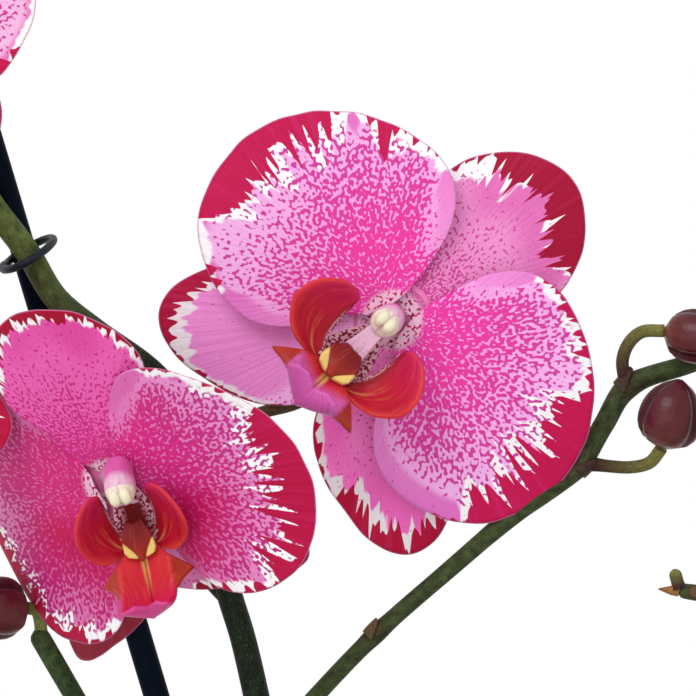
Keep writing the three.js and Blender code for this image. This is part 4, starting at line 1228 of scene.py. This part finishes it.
# Crown and roots
CROWN_RADII = [8.4, 8.4, 8.2, 7.8, 7, 5.4]
ROOT_RADII = [2.9, 2.7, 2.6, 2.4, 1.6]
ROOTS = [
    [(-4, -3, 119), (-14, -10, 121.5), (-30, -21, 121.5), (-46, -30, 124), (-60, -38, 128), (-73, -44, 124),
     (-79, -47, 112)],
    [(4, -6, 118.4), (11, -26, 119.4), (19, -42, 118), (23, -48, 114.4)],
    [(1, 5, 119), (8, 22, 121), (14, 40, 122.4), (20, 57, 128), (24, 70, 129), (26, 80, 120)],
    [(-5, 1, 118.4), (-24, 5, 119.8), (-42, 10, 117.8), (-50, 12, 114.2)],
]
ROOT_SILVER = rgb(0.36, 0.40, 0.28)
ROOT_GREEN = rgb(0.20, 0.26, 0.06)
CROWN_GREEN = rgb(0.10, 0.17, 0.05)
CROWN_ENDS = [(0, 0, 100), (0, 0, 161)]
ROOT_STEPS = 60
ROOT_SIDES = 18
shape = Shape()
shape.limb(curve(CROWN_ENDS, 40), CROWN_RADII, 40,
           lambda p: shade(ROOT_SILVER, CROWN_GREEN, (p[:, 2] - 112) / 20),
           ridges=lambda angles, place: 1 + 0.04 * np.cos(2 * angles + 9 * place))
for root in ROOTS:
    place = per_point(np.linspace(0, 1, ROOT_STEPS), ROOT_SIDES)
    shape.limb(even(curve(root, ROOT_STEPS)), ROOT_RADII, ROOT_SIDES,
               shade(ROOT_SILVER, ROOT_GREEN, (place - 0.86) * 9))
shape.piece("crown_and_roots", "root")

# Leaves: azimuth, rise, start radius, height of the base, length, half width and drop of the tip
LEAVES = {
    "leaf_1": (203, 16, 8.9, 131, 205, 37, 46),
    "leaf_2": (31, 18, 8.9, 131, 215, 38, 40),
    "leaf_3": (60, 34, 8.3, 142, 175, 33, 8),
    "leaf_4": (250, 26, 8.1, 141, 180, 35, 30),
    "leaf_5": (222, 50, 7.5, 150, 120, 27, -30),
}
LEAF_WIDTHS = [0.24, 0.3, 0.52, 0.78, 0.95, 1, 0.97, 0.82, 0.5, 0.1]
LEAF_FOLD = 0.32
LEAF_CHANNEL = 0.7
LEAF_CHANNEL_WIDTH = 1.6
LEAF_THICKNESS = 2.2
LEAF_GRID = (90, 33)
LEAF_GREEN = rgb(0.035, 0.115, 0.022)
LEAF_EDGE = rgb(0.08, 0.16, 0.035)


def leaf(name, azimuth, rise, start, base, length, half, drop):
    """A strap-shaped leaf along a drooping curve, folded along its middle."""
    slope = math.tan(math.radians(rise))
    p0 = np.array([start, base])
    p1 = p0 + [length * 0.35, length * 0.35 * slope]
    p2 = np.array([start + length * 0.72, base + length * 0.35 * slope])
    p3 = np.array([start + length * 0.95, base - drop])
    a = math.radians(azimuth)

    def surface(u, v):
        w = (1 - u)[..., None]
        t = u[..., None]
        spine = p0 * w ** 3 + 3 * p1 * w * w * t + 3 * p2 * w * t * t + p3 * t ** 3
        across = (2 * v - 1) * half * spread(LEAF_WIDTHS, u)
        z = spine[..., 1] + LEAF_FOLD * np.abs(across) * (1 - 0.7 * u)
        z = z - LEAF_CHANNEL * np.exp(-(across / LEAF_CHANNEL_WIDTH) ** 2)
        r = spine[..., 0]
        x, y = r * math.cos(a) - across * math.sin(a), r * math.sin(a) + across * math.cos(a)
        return np.stack([x, y, z], -1)

    points, faces, u, v = sheet(surface, *LEAF_GRID, LEAF_THICKNESS)
    across = np.abs(2 * v - 1)
    tint = shade(LEAF_GREEN, LEAF_EDGE, (across - 0.88) * 9)
    tint = shade(tint, LEAF_EDGE, 1 - across * 22)
    tint = shade(tint, LEAF_EDGE * 1.5, 0.5 - u * 5)
    one_mesh(name, "leaf", points, faces, surface_place(u, v, half, length), tint)


for leaf_name, sizes in LEAVES.items():
    leaf(leaf_name, *sizes)

# Pots and bark
CERAMIC_PROFILE = [
    (0, 0), (44.4, 0), (45.7, 0.5), (46.7, 1.4), (47.2, 2.6), (51, 28), (56, 60), (60, 88), (63.5, 112),
    (65.4, 115.5), (66, 117.6), (66, 119.8), (65.5, 121.3), (64.2, 122), (62.7, 122), (61.5, 121.3),
    (61, 120), (61, 117), (60, 114), (58.5, 111), (51, 60), (43, 10), (42, 8), (40, 7), (0, 7),
]
GROW_POT_PROFILE = [
    (0, 7.4), (34, 7.4), (35.4, 8), (36, 9.4), (56.2, 112), (57.6, 119), (60.1, 119), (60.4, 119.4),
    (60.4, 120.7), (60, 121), (56.8, 121), (56.3, 120.6), (54.9, 112), (34.8, 9.6), (33.6, 8.7), (0, 8.7),
]
for pot_name, profile in (("ceramic_pot", CERAMIC_PROFILE), ("grow_pot", GROW_POT_PROFILE)):
    points, faces = lathe(profile, 160)
    one_mesh(pot_name, pot_name, points, faces, points)

BARK_PROFILE = [(0, 9.1), (33.3, 9.1), (34.4, 10), (53.6, 107), (40, 108.5), (20, 109.5), (0, 110)]
# Chips lie up to this far from the middle, but not under the crown
BARK_RADIUS = 49.14
CROWN_CLEARING = 13
BARK_TINTS = [np.array(c) for c in ((0.16, 0.075, 0.035), (0.22, 0.11, 0.055), (0.10, 0.045, 0.022))]
CHIPS = 330
CHIP_SIZES = (3.0, 5.5)
CHIP_RINGS = 9
CHIP_SIDES = 12
CHIP_SQUARENESS = 0.62
CHIP_ROUGHNESS = 0.28


def chip(shape, centre, size, rng):
    """A lump of bark: a squashed, roughened ball turned any way."""
    turns = circle(CHIP_SIDES)
    tilt = np.array([rng.uniform(-1, 1) for _ in range(3)])
    tilt /= np.linalg.norm(tilt)
    flatness = np.array([1, rng.uniform(0.55, 0.9), rng.uniform(0.3, 0.5)]) * size
    rows = []
    for i in range(CHIP_RINGS):
        polar = math.pi * (i + 0.5) / CHIP_RINGS
        ball = np.stack([np.sin(polar) * np.cos(turns), np.sin(polar) * np.sin(turns),
                         np.full(CHIP_SIDES, math.cos(polar))], 1)
        rows.append(np.sign(ball) * np.abs(ball) ** CHIP_SQUARENESS)
    points = np.vstack(rows)
    rough = 1 + CHIP_ROUGHNESS * smooth_noise(points * 1.7 + tilt * 20)
    turned = Matrix.Rotation(rng.uniform(0, math.pi), 3, Vector(tilt))
    points = (points * rough[:, None] * flatness) @ np.array(turned).T + centre
    faces = [f[::-1] for f in grid_faces(CHIP_RINGS, CHIP_SIDES, closed=True)]
    low_end = range((CHIP_RINGS - 1) * CHIP_SIDES, CHIP_RINGS * CHIP_SIDES)
    faces += [tuple(range(CHIP_SIDES)), tuple(low_end)[::-1]]
    shape.add(points, faces, points, BARK_TINTS[rng.randrange(3)] * rng.uniform(0.8, 1.2))


rng = random.Random(SEED)
shape = Shape()
points, faces = lathe(BARK_PROFILE, 96)
shape.add(points, faces, points, BARK_TINTS[2])
for _ in range(CHIPS):
    r, a = BARK_RADIUS * math.sqrt(rng.random()), rng.uniform(0, 2 * math.pi)
    size = rng.uniform(*CHIP_SIZES)
    if r < CROWN_CLEARING:
        continue
    height = 109.5 - r * 0.04 + rng.uniform(-1, 1.6)
    chip(shape, np.array([r * math.cos(a), r * math.sin(a), height]), size, rng)
shape.piece("bark_mix", "bark")

# Floor, light and camera
FLOOR_HALF = 2.6
bpy.ops.mesh.primitive_plane_add(size=2 * FLOOR_HALF, location=(0, 0, 0))
floor = bpy.context.object
floor.name = "floor"
paint = Shader("floor_paint", Roughness=0.8, Specular_IOR_Level=0.2)
position = paint.node("TexCoord", {}).outputs["Object"]
clouds = paint.noise(position, scale=3.0, detail=3.0)
floor.data.materials.append(paint.finish(paint.mix(clouds, (0.80, 0.80, 0.79), (0.84, 0.84, 0.83))))

world = bpy.data.worlds.new("studio")
bpy.context.scene.world = world
world.use_nodes = True
sky = world.node_tree.nodes["Background"].inputs
sky["Color"].default_value = (1, 1, 1, 1)
sky["Strength"].default_value = 1.0

# Suns: strength, apparent size and the tilt of their beams, in degrees
LIGHTS = {
    "key": {"strength": 1.1, "angle": 28, "tilt": (52, 0, -28)},
    "fill": {"strength": 1.1, "angle": 60, "tilt": (108, 0, -25)},
}
for light_name, light in LIGHTS.items():
    sun = bpy.data.lights.new(light_name, "SUN")
    sun.energy = light["strength"]
    sun.angle = math.radians(light["angle"])
    lamp = bpy.data.objects.new(light_name, sun)
    lamp.rotation_euler = [math.radians(a) for a in light["tilt"]]
    bpy.context.scene.collection.objects.link(lamp)

lens = bpy.data.cameras.new("camera")
lens.sensor_width = CAMERA["sensor"]
lens.lens = CAMERA["sensor"] * CAMERA["distance"] / CAMERA["frame_width"]
lens.clip_end = CAMERA["far"] * METRES
camera = bpy.data.objects.new("camera", lens)
camera.location = (CAMERA["x"] * METRES, -CAMERA["distance"] * METRES, CAMERA["z"] * METRES)
camera.rotation_euler = (math.radians(90), 0, 0)
bpy.context.scene.collection.objects.link(camera)
bpy.context.scene.camera = camera
bpy.context.scene.view_settings.view_transform = "Standard"
